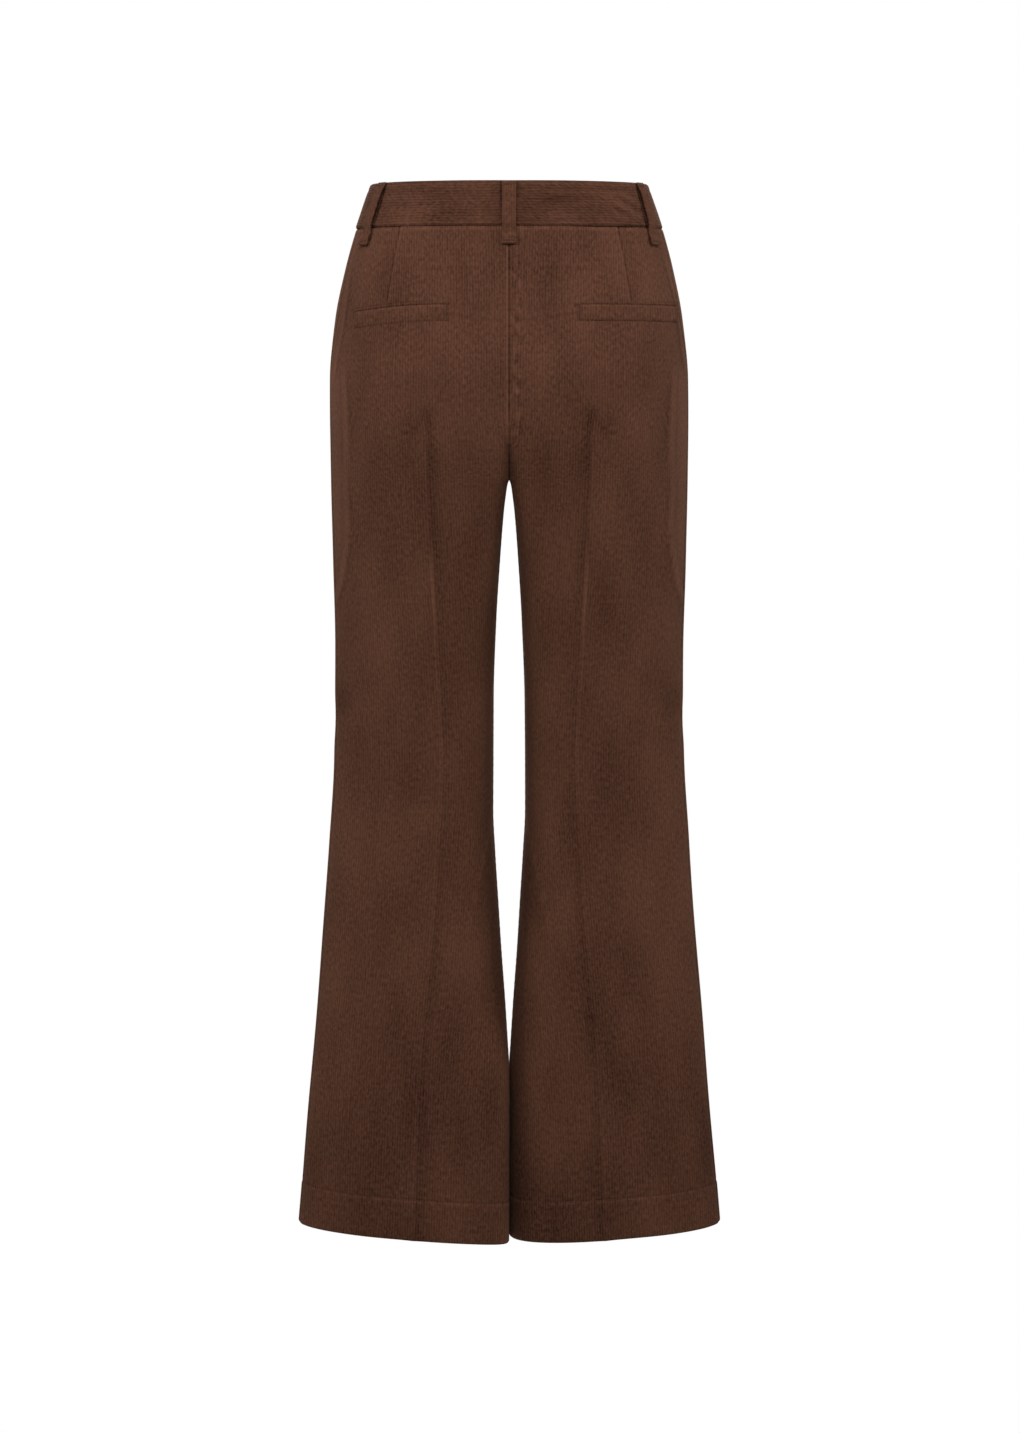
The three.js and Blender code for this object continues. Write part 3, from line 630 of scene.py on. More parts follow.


# How the pile lies, and the light and shade painted on it: above 0 the cloth looks light, below 0 it looks dark. Part
# of it is the pile brushed up or pressed, and much of it is painted highlight and painted shade.
def panel_nap_and_shading(s):
    x, z = s.x, s.z
    total = 0.05 * drift(s.point[..., 0], z, 120, 21) + 0.04 * drift(2 * s.point[..., 0], z, 60, 22)
    total -= 0.22 * bell(s.from_side, 1.0) + 0.12 * bell(s.from_inner, 0.8) * (z > CROTCH)
    total += 0.07 * bell(s.from_side - 2.6, 1.2)
    # Along each pressed crease, a light line on its ridge is painted highlight, and the darker band on its inner side
    # is painted shade
    pressed = smooth(CREASE_TOP - 70, CREASE_TOP - 130, z)
    crease_highlight = (0.06 + 0.2 * smooth(-540, -440, z)) * (1 + 0.7 * drift(0.2 * x, z, 60, 25))
    total += crease_highlight * pressed * bell(s.from_line, 1.1)
    total -= 0.07 * pressed * smooth(1.2, 2.4, s.from_line) * (1 - smooth(5, 14, s.from_line))
    # A dark line at the hem's stitching, and painted shade that darkens the legs towards the hem, as the light falls
    # off downwards
    total -= 0.1 * bell(z - HEM - HEM_DEPTH, 0.8) + 0.12 * smooth(-700, -1000, z)
    total += 0.12 * bell(z - HEM - HEM_DEPTH + 1.8, 1.0)
    total += (0.16 + 0.06 * drift(x, z, 26, 23)) * bell(z - PANEL_TOP + 2.6, 1.1)
    if s.face == "back":
        # Painted shade on the inner side of each crease, where it starts under the seat
        inner = smooth(-0.5, 1.5, s.from_line) * (1 - smooth(4, 8, s.from_line))
        total -= 0.15 * inner * smooth(CREASE_TOP + 6, CREASE_TOP - 12, z) * smooth(-380, -300, z)
        # Painted shadow round the low ends of the centre back belt loop and the side loop
        beside_loop = LOOP_PLACES["left" if s.side == LEFT else "right"]
        for place in (0, loop_place(beside_loop, BELT_LOOP["low"] + 6)):
            aside = np.maximum(np.abs(s.from_inner - place) - BELT_LOOP["wide"] / 2, 0)
            below = np.maximum(BELT_LOOP["low"] - z, 0)
            away = np.hypot(aside, below)
            total -= 0.4 * bell(away - 0.4, 0.9) * (away > 0)
        # Painted shade in the dips at the tops of the creases
        total -= 0.2 * bell((x - 80) / 7, 1) * bell((z + 202) / 9, 1)
        total -= 0.14 * bell((x - 90) / 10, 1) * bell((z + 214) / 10, 1)
        total -= 0.08 * bell((x - 70) / 9, 1) * bell((z + 250) / 30, 1)
        # The dart is drawn as a dark line with a light line along its fold; the cloth beyond it is painted darker, as
        # painted shade where it turns away
        dart = smooth(DART_TIP - 4, DART_TIP + 10, z)
        total -= 0.24 * dart * bell(s.from_line + 0.3, 0.9)
        total += 0.16 * dart * bell(s.from_line - 1.8, 0.9)
        total -= 0.08 * dart * smooth(0, -2, s.from_line) * smooth(-20, -8, s.from_line)

        # The pocket's welt shows as a double line along its top: the dark lines round it are painted shade in the
        # groove where the cloth is turned in, with a light line between them
        away, above = from_welt(s)
        strong = 0.1 + 0.26 * smooth(-3, 0, above)
        total -= strong * bell(away - 0.3, 0.7) + 0.16 * smooth(0, 1, above) * bell(away - 3.0, 0.6)
        total += 0.12 * smooth(0, 1, above) * bell(away - 1.7, 0.6)

        # Under the seat's seam, painted shade darkens the cloth beside the centre seam
        total -= 0.3 * bell(s.from_inner, 7.5) * smooth(-210, -258, z) * smooth(-300, -266, z)
        # Between the thighs less light reaches the cloth, so it is painted lighter there
        total += 0.1 * bell(s.from_gap - 3, 9) * smooth(-272, -330, z) * smooth(-700, -520, z)
        if s.side == LEFT:
            total += 0.4 * bell(s.from_inner - 1.9, 0.9) * smooth(CROTCH + 6, CROTCH + 30, z)
            # A painted sheen highlight on the outer shin
            total += 0.05 * bell((x - 163) / 14, 1) * bell((z + 720) / 34, 1)
            total += 0.09 * bell((x - 86) / 20, 1) * bell((z + 598) / 16, 1)
        else:
            turning = smooth(1.5, 3, s.from_inner) * (1 - smooth(11, 13.5, s.from_inner))
            total += turning * (0.02 + 0.16 * drift(3 * x, 2 * z, 16, 24)) * smooth(CROTCH, CROTCH + 30, z)
        # Light bands along the flat outer side of the seat and thigh, and over the hips, are painted sheen
        # highlights, with dark lines beside them
        strip = beside(s, (-150, -165, -325, -365, -395), (161, 157, 156, 162, 172))
        much = smooth(-150, -172, z) * smooth(-410, -370, z)
        much = much * smooth(-3, 14, s.from_side)
        total += much * (0.17 * smooth(-0.8, 1.0, strip) + 0.1 * bell(strip - 0.5, 1.0))
        total -= much * (0.14 * bell(strip - 7, 1.3) + 0.1 * bell(strip + 2.4, 1.4))
        if s.side == LEFT:
            upper = beside(s, (-58, -71, -121, -160, -180), (153, 154.7, 160.5, 168.1, 173))
            much = smooth(-58, -76, z) * smooth(-184, -160, z)
        else:
            upper = beside(s, (-40, -49, -93, -141, -180), (147, 149.1, 161.3, 168, 175))
            much = smooth(-40, -56, z) * smooth(-184, -150, z)
        total += much * (0.2 * bell(upper - 2.4, 1.7) * smooth(0, 16, s.from_side) - 0.2 * bell(upper + 0.6, 1.1))
        # Down the inner thigh the inseam shows as a light line, with painted shade in the fold between it and the gap
        inseam = beside(s, (-600, -622, -668, -720, -760), (14, 19, 30, 40, 48))
        much = smooth(-596, -612, z) * smooth(-740, -680, z)
        total += much * (0.17 * bell(inseam - 1, 1.4) - 0.05 * smooth(0.5, -2.0, inseam))
        # Where the legs touch, the left one's edge catches the light and the right one is in its shade
        total += (0.16 if s.side == LEFT else -0.12) * bell(s.from_gap, 10) * smooth(-800, -870, z)
        # Painted shade in the dimple at the outside of the knee
        total -= 0.18 * bell((x - 166) / 13, 1) * bell((z + 492) / 15, 1)
        # Short dark marks are painted shade in small wrinkles low on the legs
        if s.side == RIGHT:
            for cx, cz, long in ((79, -800, 9), (102, -736, 7)):
                total -= 0.1 * bell((x - cx) / long, 1) * bell((z - cz) / 3, 1)
        else:
            total -= 0.1 * bell((x - 78) / 12, 1) * bell((z + 797 - 0.4 * (x - 78)) / 3, 1)
    return total


def keep_clear(points, side):
    points[..., 0] = side * np.maximum(side * points[..., 0], JOIN / 2)
    return points


# Above the crotch, the two halves close on each other at the centre seams
def meet_in_the_middle(s, points):
    off = (s.side * JOIN / 2 - points[:, -1, 0])[:, None]
    points[..., 0] += off * bell(s.from_inner, 4) * (s.z > CROTCH)
    return points


def panel(name, face, side):
    s = panel_surface(face, side)
    relief = panel_relief(s)[..., None]
    thick = (CLOTH + CLOTH * (1 - smooth(HEM_DEPTH - 0.5, HEM_DEPTH + 1.5, s.z - HEM)))[..., None]
    s.outer = meet_in_the_middle(s, keep_clear(s.point + s.normal * relief, side))
    inner = meet_in_the_middle(s, keep_clear(s.point + s.normal * (relief - thick), side))
    run = np.concatenate([[0], np.cumsum(np.linalg.norm(np.diff(s.point, axis=0), axis=2).mean(1))])
    uv = np.stack([s.wale, -np.repeat(run[:, None], s.wale.shape[1], 1)], 2)
    s.object = shell(name, s.outer, inner, uv, s.turn, CORD, panel_nap_and_shading(s))
    return s


PANELS = {}
for side, word in ((LEFT, "left"), (RIGHT, "right")):
    for face in ("back", "front"):
        PANELS[face, side] = panel(f"{face}_{word}_cloth", face, side)


# Waistband

# A place on the waist's ring, counted along the cloth from the centre back, past the left side
class Ring:
    def __init__(self, z):
        line = section(z, LEFT)
        self.run = line.along[-1] - line.along[::-1]
        self.x, self.y = line.x[::-1], line.y[::-1]
        self.half = self.run[-1]
        self.z = z

    def find(self, along):
        along = np.asarray(along, float)
        right = along > self.half
        counted = np.where(right, 2 * self.half - along, along)
        sign = np.where(counted < 0, -1, 1) * np.where(right, -1, 1)
        counted = np.abs(counted)
        return sign * np.interp(counted, self.run, self.x), np.interp(counted, self.run, self.y)


# A grid on the waist. places(ring) gives the columns' places along the ring.
def waist_surface(heights, places, turn):
    points, run = [], []
    for z in heights:
        ring = Ring(z)
        along = places(ring)
        x, y = ring.find(along)
        points.append(np.stack([x, y, raised(z, x, y)], 1))
        run.append(along)
    point = np.array(points)
    s = SimpleNamespace(point=point, along=np.array(run), turn=turn)
    s.z = np.repeat(np.asarray(heights, float)[:, None], point.shape[1], 1)
    s.normal = normals_of(point, np.gradient(point, axis=1), turn)
    return s


def waistband(name, side):
    heights = np.concatenate([
        BAND_TOP - np.array([0, 0.4, 1.0, 1.8, 3.0]),
        np.arange(BAND_TOP - 4.5, BAND_SEAM + 4, -1.6),
        BAND_SEAM + np.array([3.0, 1.8, 1.0, 0.4, 0]),
    ])
    past = BAND["overlap"] if side > 0 else BAND["underlap"]

    def places(ring):
        t = np.concatenate([[0, 0.002], np.linspace(0.005, 0.997, 190), [0.9985, 1]])
        run = JOIN / 2 + (ring.half + past - JOIN / 2) * t
        return run if side > 0 else 2 * ring.half - run

    s = waist_surface(heights, places, side)
    x, y = s.point[..., 0], s.point[..., 1]
    down = BAND_TOP - s.z
    relief = BAND["proud"] + 0.25 * drift(x, 3 * s.z, 70, 5)
    relief = relief - 1.1 * bell(down, 0.9) - 1.0 * bell(s.z - BAND_SEAM, 1.0)
    relief -= 0.3 * bell(down - 6.7, 1.3)
    under = np.zeros(x.shape)
    half = np.array([[Ring(z).half] for z in heights])
    if side == LEFT:
        from_end = half + BAND["overlap"] - s.along
        relief -= 0.9 * bell(from_end, 1.0)
    else:
        from_end = np.abs(s.along - half - BAND["overlap"])
        under = (BAND["thick"] + BAND["gap"]) * np.where(y > 0, 0, smooth(-26, -8, x))
        relief += 0.3 * bell(down - 35.5, 1.5) * smooth(8, 20, -x) * (1 - smooth(100, 120, -x))
        lean = (-x - 106) * 0.55 + (s.z + 4)
        puckers = np.sin(lean / 1.9) * bell(-x - 112, 15) * bell(s.z + 4, 13) * np.where(y > 0, 1, 0)
        relief += 0.5 * puckers
    s.outer = s.point + s.normal * (relief - under)[..., None]
    inner = s.point + s.normal * (BAND["proud"] - BAND["thick"] - under + 0.5 * bell(down, 0.9))[..., None]
    # The wale runs along the band
    uv = np.stack([s.z, s.along], 2)
    nap_and_painted_shading = 0.06 * drift(x, 5 * s.z, 90, 31) + 0.05 * drift(x, 9 * s.z, 50, 32) - 0.07
    # A dark line at the seam; painted shade in the groove under the top on the right half and along the rolled top
    # edge; lighter lines just under the top and just above the seam
    nap_and_painted_shading -= 0.24 * bell(s.z - BAND_SEAM, 0.8) + 0.12 * bell(down - 7.4, 1.4) * smooth(4, -8, x) + 0.3 * bell(down, 1.0)
    nap_and_painted_shading += 0.1 * bell(down - 3.6, 2.2) + (0.1 + 0.1 * drift(x, s.z, 22, 33)) * bell(s.z - BAND_SEAM - 2.2, 0.9)
    # Painted shade along the left band's rounded end, and a painted shadow of that end on the right band
    nap_and_painted_shading -= 0.25 * bell(from_end, 1.0)
    # The puckers are painted lighter on their ridges and darker between them, as painted light and shade
    if side == RIGHT:
        nap_and_painted_shading += 0.16 * puckers
    # Painted shadow beside each belt loop
    from_back = np.abs(np.where(s.along > half, 2 * half - s.along, s.along))
    side_loop = LOOP_PLACES["left" if side == LEFT else "right"]
    for loop in (None, side_loop, LOOP_PLACES["front"]):
        middle = np.array([[loop_place(loop, z) if loop else 0.0] for z in heights])
        aside = np.abs(from_back - middle)
        nap_and_painted_shading -= 0.45 * bell(aside - BELT_LOOP["wide"] / 2 - 0.4, 0.9)
    s.object = shell(name, s.outer, inner, uv, side, CORD, nap_and_painted_shading)
    return s


BANDS = {LEFT: waistband("waistband_left_cloth", LEFT), RIGHT: waistband("waistband_right_cloth", RIGHT)}


# Belt loops

def belt_loop(name, place=None, mirrored=False):
    heights = np.concatenate([
        BELT_LOOP["top"] - np.array([0, 0.3, 0.8, 1.5]),
        np.arange(BELT_LOOP["top"] - 3, BELT_LOOP["low"] + 2, -1.5),
        BELT_LOOP["low"] + np.array([1.5, 0.8, 0.3, 0]),
    ])
    offsets = BELT_LOOP["wide"] * (closer_at_ends(12, 0.8) - 0.5)

    def places(ring):
        middle = loop_place(place, ring.z) if place else 0.0
        return (2 * ring.half - middle if mirrored else middle) + offsets

    s = waist_surface(heights, places, 1)
    z = s.z
    side = np.repeat(np.abs(offsets)[None, :], len(heights), 0)
    edge = BELT_LOOP["wide"] / 2 - side
    bow = smooth(BAND_TOP, 8, z) * smooth(-31, -18, z)
    base = 0.4 + BAND["proud"] * smooth(-25, -21, z) + BELT_LOOP["slack"] * bow
    thick = BELT_LOOP["thick"] + 1.1 * (1 - smooth(BELT_LOOP["fold"] - 1, BELT_LOOP["fold"] + 1, z))
    outer = base + thick - 0.7 * bell(edge, 0.8) - 0.9 * bell(z - BELT_LOOP["low"], 0.7)
    outer -= 0.25 * bell(edge - 2.2, 0.6)
    outer -= 0.7 * bell(z - BELT_LOOP["top"], 0.7)
    s.outer = s.point + s.normal * outer[..., None]
    s.offsets, s.heights = offsets, heights
    inner = s.point + s.normal * (base + 0.3 * bell(edge, 0.8))[..., None]
    uv = np.stack([s.along, s.z], 2)
    # Painted shade along the loop's rolled edges, in its stitch grooves and at its low end, with painted highlights
    # just inside them
    nap_and_painted_shading = 0.02 - 0.3 * bell(edge, 0.6) - 0.1 * bell(edge - 2.2, 0.5)
    nap_and_painted_shading += 0.14 * bell(edge - 1.2, 0.6) - 0.2 * bell(z - BELT_LOOP["low"], 0.8)
    nap_and_painted_shading += 0.14 * bell(z - BELT_LOOP["low"] - 2.2, 0.9)
    s.object = shell(name, s.outer, inner, uv, 1, CORD, nap_and_painted_shading)
    return s


LOOPS = {
    "loop_back": belt_loop("loop_back_cloth"),
    "loop_side_left": belt_loop("loop_side_left_cloth", LOOP_PLACES["left"]),
    "loop_side_right": belt_loop("loop_side_right_cloth", LOOP_PLACES["right"], True),
    "loop_front_left": belt_loop("loop_front_left_cloth", LOOP_PLACES["front"]),
    "loop_front_right": belt_loop("loop_front_right_cloth", LOOP_PLACES["front"], True),
}


# Pieces that lie on a panel

# The height of a panel's own relief under any points, so that a piece on it follows it
def relief_on(s, x, z):
    relief = panel_relief(s)
    rows = np.interp(-z, -HEIGHTS, np.arange(len(HEIGHTS)))
    low = np.clip(rows.astype(int), 0, len(HEIGHTS) - 2)
    part = rows - low
    found = np.zeros(x.shape)
    for i in np.ndindex(x.shape):
        total = 0
        for row, share in ((low[i], 1 - part[i]), (low[i] + 1, part[i])):
            order = np.argsort(s.x[row])
            total += share * np.interp(abs(x[i]), s.x[row][order], relief[row][order])
        found[i] = total
    return found


def patch(name, s, x, z, relief, thick, turn, uv, nap_and_painted_shading=None):
    points = np.zeros(x.shape + (3,))
    for i in np.ndindex(x.shape):
        line = section(z[i], LEFT)
        along = along_at_x(line, s.face, abs(x[i]))
        px, py = np.interp(along, line.along, line.x), np.interp(along, line.along, line.y)
        points[i] = (x[i], py, raised(z[i], px, py))
    normal = normals_of(points, np.gradient(points, axis=1), turn)
    base = relief_on(s, x, z)
    outer = points + normal * (base + relief)[..., None]
    inner = points + normal * (base + relief - thick)[..., None]
    made = SimpleNamespace(point=points, outer=outer, normal=normal, x=x, z=z)
    made.object = shell(name, outer, inner, uv, turn, CORD, nap_and_painted_shading)
    return made


def welt(name, side):
    size = WELTS[side]
    down = closer_at_ends(14, 0.85)
    out = closer_at_ends(44, 0.85)
    dd, oo = np.meshgrid(down, out, indexing="ij")
    x = side * (size["inner"] + (size["outer"] - size["inner"]) * oo)
    z = WELT_TOP - WELT_TALL * dd - size["drop"] * oo * oo
    length = size["outer"] - size["inner"]
    edge = np.minimum(np.minimum(dd, 1 - dd) * WELT_TALL, np.minimum(oo, 1 - oo) * length)
    lower = (1 - size["low_edge"]) * dd
    relief = 0.5 - 0.35 * lower + (0.75 - 0.45 * lower) * smooth(0, 1.8 + 3 * lower, edge) + 0.1 * drift(x, z, 30, 3)
    relief -= 0.3 * bell(dd * WELT_TALL - 1.0, 0.8)
    uv = np.stack([x, z], 2)
    # Painted shade along the welt's edges and low edge, and a painted highlight along its top, which catches the
    # light
    nap_and_painted_shading = -0.12 * bell(edge, 0.7) - 0.1 * bell((1 - dd) * WELT_TALL, 0.9) * size["low_edge"]
    nap_and_painted_shading += 0.1 * bell(dd * WELT_TALL - 1.6, 0.7)
    made = patch(name, PANELS["back", side], x, z, relief, 1.1, side, uv, nap_and_painted_shading)
    made.out = out * length
    return made


def fly_piece():
    top = PANEL_TOP - 0.5
    down = np.sin(np.linspace(0, 1, 90) * math.pi / 2)
    out = closer_at_ends(20, 0.8)
    dd, oo = np.meshgrid(down, out, indexing="ij")
    z = top - FLY["long"] * dd
    up = np.maximum(0, FLY["corner"] - (z - top + FLY["long"])) / FLY["corner"]
    wide = FLY["wide"] - FLY["corner"] * (1 - np.sqrt(np.maximum(0, 1 - up * up)))
    x = FLY["edge"] + (wide - FLY["edge"]) * oo
    edge = np.minimum((1 - oo) * (wide - FLY["edge"]), oo * (wide - FLY["edge"]) + 1.2)
    relief = 0.35 + 0.8 * smooth(0, 2.2, edge)
    uv = np.stack([x, z], 2)
    # Painted shade along the fly's edges
    s = patch("fly_cloth", PANELS["front", LEFT], x, z, relief, 1.1, -1, uv, -0.2 * bell(edge, 0.7))
    s.across = x
    return s


WELT_CLOTH = {LEFT: welt("welt_left_cloth", LEFT), RIGHT: welt("welt_right_cloth", RIGHT)}
FLY_CLOTH = fly_piece()


# Stitches

def stitch_tree():
    tree = bpy.data.node_groups.new("row_of_stitches", "GeometryNodeTree")
    face = tree.interface
    face.new_socket("Path", in_out="INPUT", socket_type="NodeSocketGeometry")
    for name, value in (("Pitch", 0.003), ("Length", 0.0024), ("Thread radius", 0.00035)):
        face.new_socket(name, in_out="INPUT", socket_type="NodeSocketFloat").default_value = value
    face.new_socket("Thread", in_out="INPUT", socket_type="NodeSocketMaterial")
    face.new_socket("Stitches", in_out="OUTPUT", socket_type="NodeSocketGeometry")
    given = node(tree, "NodeGroupInput").outputs
    path = node(tree, "GeometryNodeMeshToCurve", {"Mesh": given["Path"]}).outputs[0]
    spaced = node(tree, "GeometryNodeResampleCurve", {"Curve": path, "Length": given["Pitch"]}, mode="LENGTH")
    half = node(tree, "ShaderNodeMath", {0: given["Length"], 1: 0.5}, operation="MULTIPLY").outputs[0]
    size = node(tree, "ShaderNodeCombineXYZ", {
        0: given["Thread radius"], 1: given["Thread radius"], 2: half}).outputs[0]
    bead = node(tree, "GeometryNodeMeshUVSphere", {"Segments": 6, "Rings": 4, "Radius": 1.0}).outputs[0]
    tangent = node(tree, "GeometryNodeInputTangent").outputs[0]
    turned = node(tree, "FunctionNodeAlignRotationToVector", {"Vector": tangent}, axis="Z").outputs[0]
    placed = node(tree, "GeometryNodeInstanceOnPoints", {
        "Points": spaced.outputs[0], "Instance": bead, "Rotation": turned, "Scale": size}).outputs[0]
    real = node(tree, "GeometryNodeRealizeInstances", {"Geometry": placed}).outputs[0]
    shown = node(tree, "GeometryNodeSetMaterial", {"Geometry": real, "Material": given["Thread"]}).outputs[0]
    node(tree, "NodeGroupOutput", {"Stitches": shown})
    return tree


STITCHES = stitch_tree()


# One mesh of stitches along several paths of points in millimetres
def stitched(name, paths, pitch=3.0, length=2.3, radius=0.32):
    points, edges = [], []
    for path in paths:
        start = len(points)
        points += [tuple(p * MM) for p in path]
        edges += [(start + i, start + i + 1) for i in range(len(path) - 1)]
    mesh = bpy.data.meshes.new(name + "_path")
    mesh.from_pydata(points, edges, [])
    made = bpy.data.objects.new(name, mesh)
    bpy.context.collection.objects.link(made)
    sewing = made.modifiers.new("sewing", "NODES")
    sewing.node_group = STITCHES
    values = {"Pitch": pitch * MM, "Length": length * MM, "Thread radius": radius * MM, "Thread": THREAD}
    for socket in STITCHES.interface.items_tree:
        if socket.name in values:
            sewing[socket.identifier] = values[socket.name]
    graph = bpy.context.evaluated_depsgraph_get()
    result = bpy.data.meshes.new_from_object(made.evaluated_get(graph))
    made.modifiers.clear()
    made.data = result
    result.name = name
    result.polygons.foreach_set("use_smooth", [True] * len(result.polygons))
    return made


# A point over a surface's outer face, at a row and a column that can lie between two
def over(s, row, column, lift):
    r, c = min(int(row), s.outer.shape[0] - 2), min(int(column), s.outer.shape[1] - 2)
    shares = np.outer([1 - row + r, row - r], [1 - column + c, column - c])[..., None]
    spot = s.outer[r:r + 2, c:c + 2] + s.normal[r:r + 2, c:c + 2] * lift
    return (spot * shares).sum((0, 1))


def index_of(value, values):
    values = np.asarray(values, float)
    turn = 1 if values[-1] > values[0] else -1
    return np.interp(turn * value, turn * values, np.arange(len(values)))


PANEL_STITCHES = {}
for (face, side), s in PANELS.items():
    word = "left" if side > 0 else "right"
    row = index_of(HEM + HEM_DEPTH, HEIGHTS)
    path = [over(s, row, c, 0.12) for c in range(s.outer.shape[1])]
    PANEL_STITCHES[face, side] = stitched(f"hem_stitches_{face}_{word}", [path], 3.2, 2.6, 0.3)


# Each loop is edge-stitched, with a dense tack across each end
def loop_stitches(name, s):
    rows = np.arange(2, len(s.heights) - 3, 1.0)
    edges = [[over(s, r, index_of(aside, s.offsets), 0.1) for r in rows] for aside in (-4.8, 4.8)]
    tacks = []
    for z in (17.6, 16.8, -36.2, -37.0):
        row = index_of(z, s.heights)
        tacks.append([over(s, row, index_of(aside, s.offsets), 0.12) for aside in np.linspace(-5.6, 5.6, 12)])
    return stitched(name + "_stitches", edges, 2.6, 2.1, 0.26), stitched(name + "_tacks", tacks, 0.8, 1.1, 0.28)


LOOP_STITCHES = {name: loop_stitches(name, s) for name, s in LOOPS.items()}


# Both ends of a welt are held by a short tack
def welt_stitches(name, s):
    paths = []
    for place in (1.3, 1.9, s.out[-1] - 1.9, s.out[-1] - 1.3):
        column = index_of(place, s.out)
        paths.append([over(s, r, column, 0.1) for r in np.arange(1, 14, 0.5)])
    return stitched(name, paths, 0.9, 1.1, 0.24)


WELT_STITCHES = {
    LEFT: welt_stitches("welt_left_tacks", WELT_CLOTH[LEFT]),
    RIGHT: welt_stitches("welt_right_tacks", WELT_CLOTH[RIGHT]),
}


# The fly is sewn down in a J, beside its curved edge
def fly_stitches():
    s = FLY_CLOTH
    path = []
    for row in range(1, s.outer.shape[0] - 1):
        across = s.across[row]
        inside = across[-1] - 2.6
        if inside > 2.0:
            path.append(over(s, row, index_of(inside, across), 0.1))
    return stitched("fly_stitches", [path], 2.9, 2.3, 0.28)


FLY_STITCHES = fly_stitches()


# Button

# Where the band lies flat under the button: its middle, and the directions across, up and outwards
def button_seat():
    points = BANDS[LEFT].outer.reshape(-1, 3)
    x, z = BUTTON["x"], -FRONT_DIP
    under = points[(points[:, 1] < 0) & (np.abs(points[:, 0] - x) < 9) & (np.abs(points[:, 2] - z) < 9)]
    table = np.stack([np.ones(len(under)), under[:, 0] - x, under[:, 2] - z], 1)
    (depth, tilt, lean), *_ = np.linalg.lstsq(table, under[:, 1], rcond=None)
    out = np.array([tilt, -1.0, lean])
    out /= np.linalg.norm(out)
    across = np.cross(out, (0, 0, 1))
    across /= np.linalg.norm(across)
    up = np.cross(across, out)
    return np.array([x, depth, z]) + out * 0.6, across, up, out


SEAT = button_seat()
HOLES = [(s * 1.63, t * 1.63) for s in (-1, 1) for t in (-1, 1)]


def on_button(u, v, height):
    middle, across, up, out = SEAT
    return middle + across * u + up * v + out * height


# A dished disc with a rounded rim and four holes
def button():
    count, edge = 96, BUTTON["radius"] - 0.9
    turn = np.linspace(0, math.pi / 2, 8)
    top = np.concatenate([np.arange(0.15, 4.0, 0.15), np.linspace(4.1, edge, 18)])
    radius = np.concatenate([top, edge + 0.9 * np.sin(turn[1:]), edge + 0.9 * np.cos(turn), [5, 2, 0.2]])
    height = np.concatenate([
        2.5 + 0.9 * smooth(6.1, 7.5, top), 2.5 + 0.9 * np.cos(turn[1:]), 0.9 - 0.9 * np.sin(turn), [0, 0, 0]])
    points = [on_button(0, 0, 2.5)]
    for i, (r, h) in enumerate(zip(radius, height)):
        for k in range(count):
            u, v = r * math.cos(2 * math.pi * k / count), r * math.sin(2 * math.pi * k / count)
            pit = sum(2.1 * (1 - float(smooth(0.8, 1.15, math.hypot(u - a, v - b)))) for a, b in HOLES)
            points.append(on_button(u, v, h - (pit if i < len(top) else 0)))
    points.append(on_button(0, 0, 0))
    last = len(points) - 1
    faces = []
    for k in range(count):
        nxt = (k + 1) % count
        faces.append((0, 1 + nxt, 1 + k))
        faces.append((last, last - count + k, last - count + nxt))
        for i in range(len(radius) - 1):
            a, b = 1 + i * count + k, 1 + i * count + nxt
            faces.append((a, b, b + count, a + count))
    mesh = bpy.data.meshes.new("button_disc")
    mesh.from_pydata([tuple(p * MM) for p in points], [], faces)
    mesh.polygons.foreach_set("use_smooth", [True] * len(mesh.polygons))
    mesh.materials.append(HORN)
    made = bpy.data.objects.new("button_disc", mesh)
    bpy.context.collection.objects.link(made)
    return made


BUTTON_DISC = button()


# Two bars of thread go through the four holes
def button_thread():
    paths = []
    for bar in (-1.63, 1.63):
        for aside in (-0.32, 0, 0.32):
            v = np.linspace(-1.75, 1.75, 15)
            lift = 2.5 + 0.35 * np.cos(v * math.pi / 3.6) - 1.4 * smooth(1.2, 1.75, np.abs(v))
            paths.append([on_button(bar + aside, a, h) for a, h in zip(v, lift)])
    return stitched("button_thread", paths, 0.5, 0.9, 0.2)


BUTTON_THREAD = button_thread()


# The end of the buttonhole shows beside the button: two dense rows round a slit
def buttonhole():
    s = BANDS[LEFT]
    row = index_of(0, s.z[:, 0])
    half = Ring(0).half
    rows = []
    for size in (0.9, 1.6):
        turn = np.linspace(-math.pi / 2, math.pi / 2, 9)
        line = [(x, -size) for x in np.linspace(20, 28, 9)]
        line += [(28 + size * math.cos(a), size * math.sin(a)) for a in turn]
        line += [(x, size) for x in np.linspace(28, 20, 9)]
        columns = s.along[int(round(float(row)))]
        rows.append([over(s, index_of(v, s.z[:, 0]), index_of(half - u, columns), 0.15) for u, v in line])
    return stitched("buttonhole_stitches", rows, 0.7, 1.0, 0.28)


BUTTONHOLE = buttonhole()


# Stage, light and camera

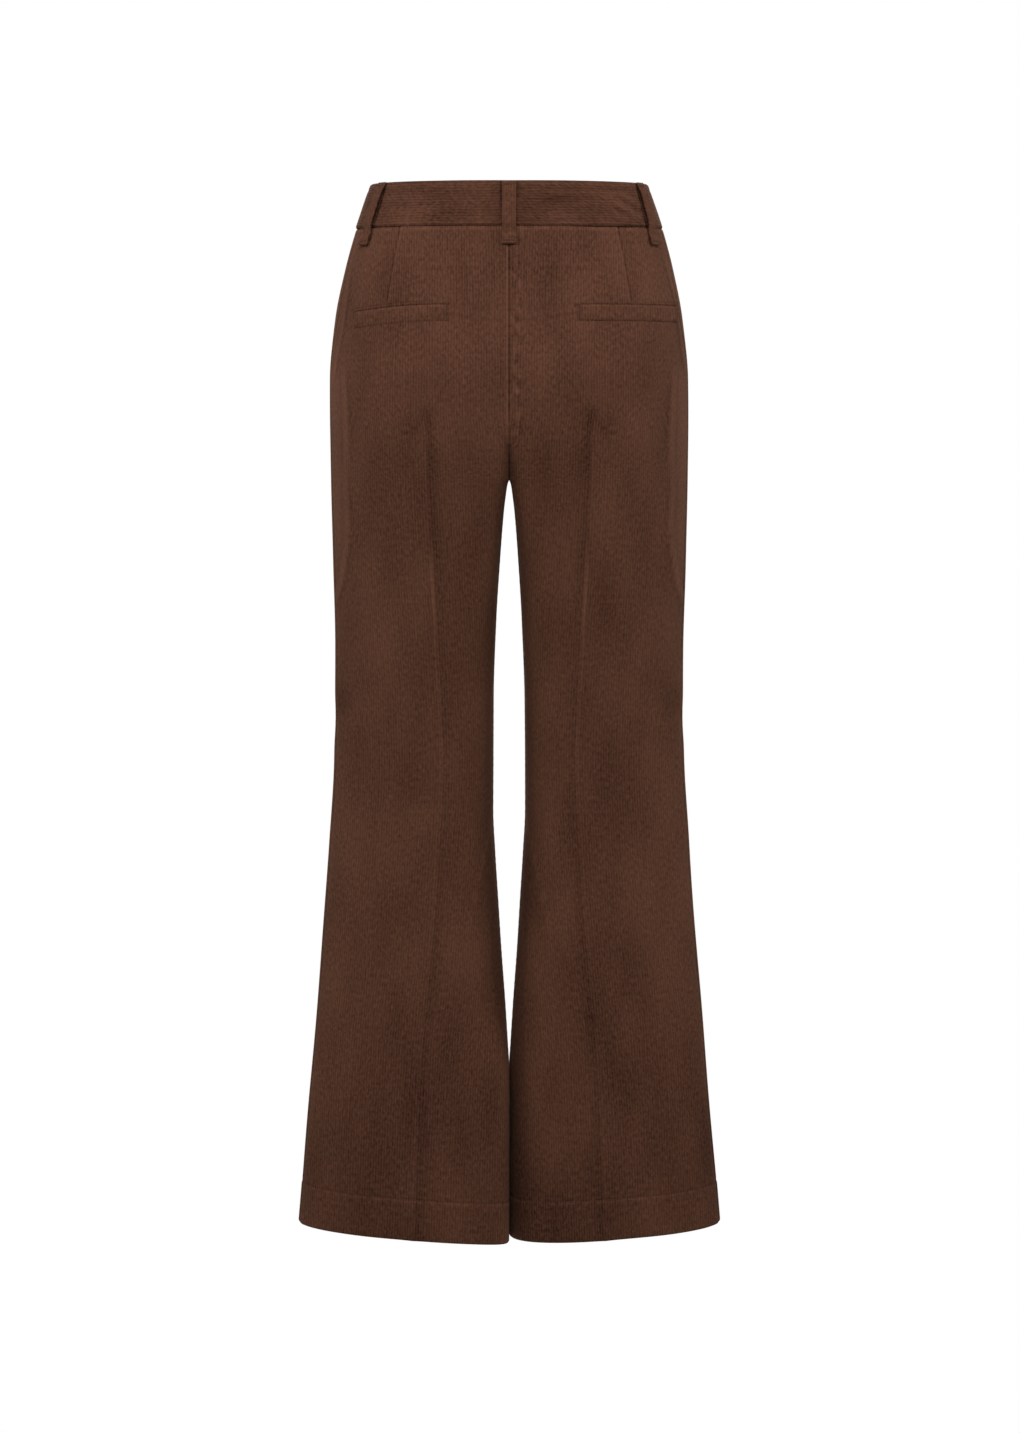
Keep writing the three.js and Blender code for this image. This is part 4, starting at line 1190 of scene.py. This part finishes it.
def floor():
    size = 60
    mesh = bpy.data.meshes.new("floor")
    corners = [(-size, -size, -1.75), (size, -size, -1.75), (size, size, -1.75), (-size, size, -1.75)]
    mesh.from_pydata(corners, [], [(0, 1, 2, 3)])
    made = bpy.data.objects.new("floor", mesh)
    bpy.context.collection.objects.link(made)
    material = bpy.data.materials.new("painted_floor_white")
    material.use_nodes = True
    tree = material.node_tree
    tree.nodes.clear()
    paint = node(tree, "ShaderNodeBsdfDiffuse", {"Color": to_linear("#e9e8e6")}).outputs[0]
    glow = node(tree, "ShaderNodeEmission", {"Color": (1, 1, 1, 1), "Strength": 1.0}).outputs[0]
    direct = node(tree, "ShaderNodeLightPath").outputs["Is Camera Ray"]
    both = node(tree, "ShaderNodeMixShader", {0: direct, 1: paint, 2: glow}).outputs[0]
    node(tree, "ShaderNodeOutputMaterial", {"Surface": both})
    mesh.materials.append(material)


def softbox(name, place, aim, wide, high, watts, colour="#ffffff"):
    light = bpy.data.lights.new(name, "AREA")
    light.shape = "RECTANGLE"
    light.size, light.size_y = wide, high
    light.energy = watts
    light.color = to_linear(colour)[:3]
    made = bpy.data.objects.new(name, light)
    made.location = place
    made.rotation_euler = (Vector(aim) - Vector(place)).to_track_quat("-Z", "Y").to_euler()
    bpy.context.collection.objects.link(made)


floor()
softbox("key", (0.0, 2.0, 1.6), (0, 0.05, -0.05), 1.4, 0.8, 56)
softbox("left_side", (2.2, 0.6, 0.9), (0, 0, -0.2), 0.6, 1.0, 27)
softbox("right_side", (-2.2, 0.6, 0.9), (0, 0, -0.2), 0.6, 1.0, 27)
softbox("front_fill", (0.0, -2.4, 1.6), (0, 0, -0.1), 1.6, 1.0, 82)

# A white studio: it is seen as plain white, and gives soft light from all round
world = bpy.data.worlds.new("white_studio")
world.use_nodes = True
tree = world.node_tree
tree.nodes.clear()
seen = node(tree, "ShaderNodeBackground", {"Color": (1, 1, 1, 1), "Strength": 1.0}).outputs[0]
lit = node(tree, "ShaderNodeBackground", {"Color": (1, 1, 1, 1), "Strength": 0.16}).outputs[0]
direct = node(tree, "ShaderNodeLightPath").outputs["Is Camera Ray"]
both = node(tree, "ShaderNodeMixShader", {0: direct, 1: lit, 2: seen}).outputs[0]
node(tree, "ShaderNodeOutputWorld", {"Surface": both})
bpy.context.scene.world = world
bpy.context.scene.view_settings.view_transform = "Standard"

camera_data = bpy.data.cameras.new("camera")
camera_data.sensor_fit = "VERTICAL"
camera_data.sensor_height = 36
camera_data.lens = 88.43
camera_data.clip_end = 100
camera = bpy.data.objects.new("camera", camera_data)
camera.location = (-0.0008, 3.5, -0.141)
camera.rotation_euler = (math.radians(90 - 5.94), 0, math.pi)
bpy.context.collection.objects.link(camera)
bpy.context.scene.camera = camera


# Pieces on the frame

def settle(made, *nodes, slot="corduroy"):
    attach(made, "root")
    if nodes:
        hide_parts(*nodes)


for (face, side), s in PANELS.items():
    word = "left" if side > 0 else "right"
    settle(s.object, f"{face}_{word}")
    settle(PANEL_STITCHES[face, side], slot=None)
for side, s in BANDS.items():
    settle(s.object, "waistband_left" if side > 0 else "waistband_right")
settle(BUTTONHOLE, slot=None)
settle(BUTTON_THREAD, slot=None)
settle(BUTTON_DISC, "button", slot="button")
for name, s in LOOPS.items():
    settle(s.object, name)
    for made in LOOP_STITCHES[name]:
        settle(made, slot=None)
for side, s in WELT_CLOTH.items():
    settle(s.object, "welt_left" if side > 0 else "welt_right")
    settle(WELT_STITCHES[side], slot=None)
settle(FLY_CLOTH.object, "fly")
settle(FLY_STITCHES, slot=None)
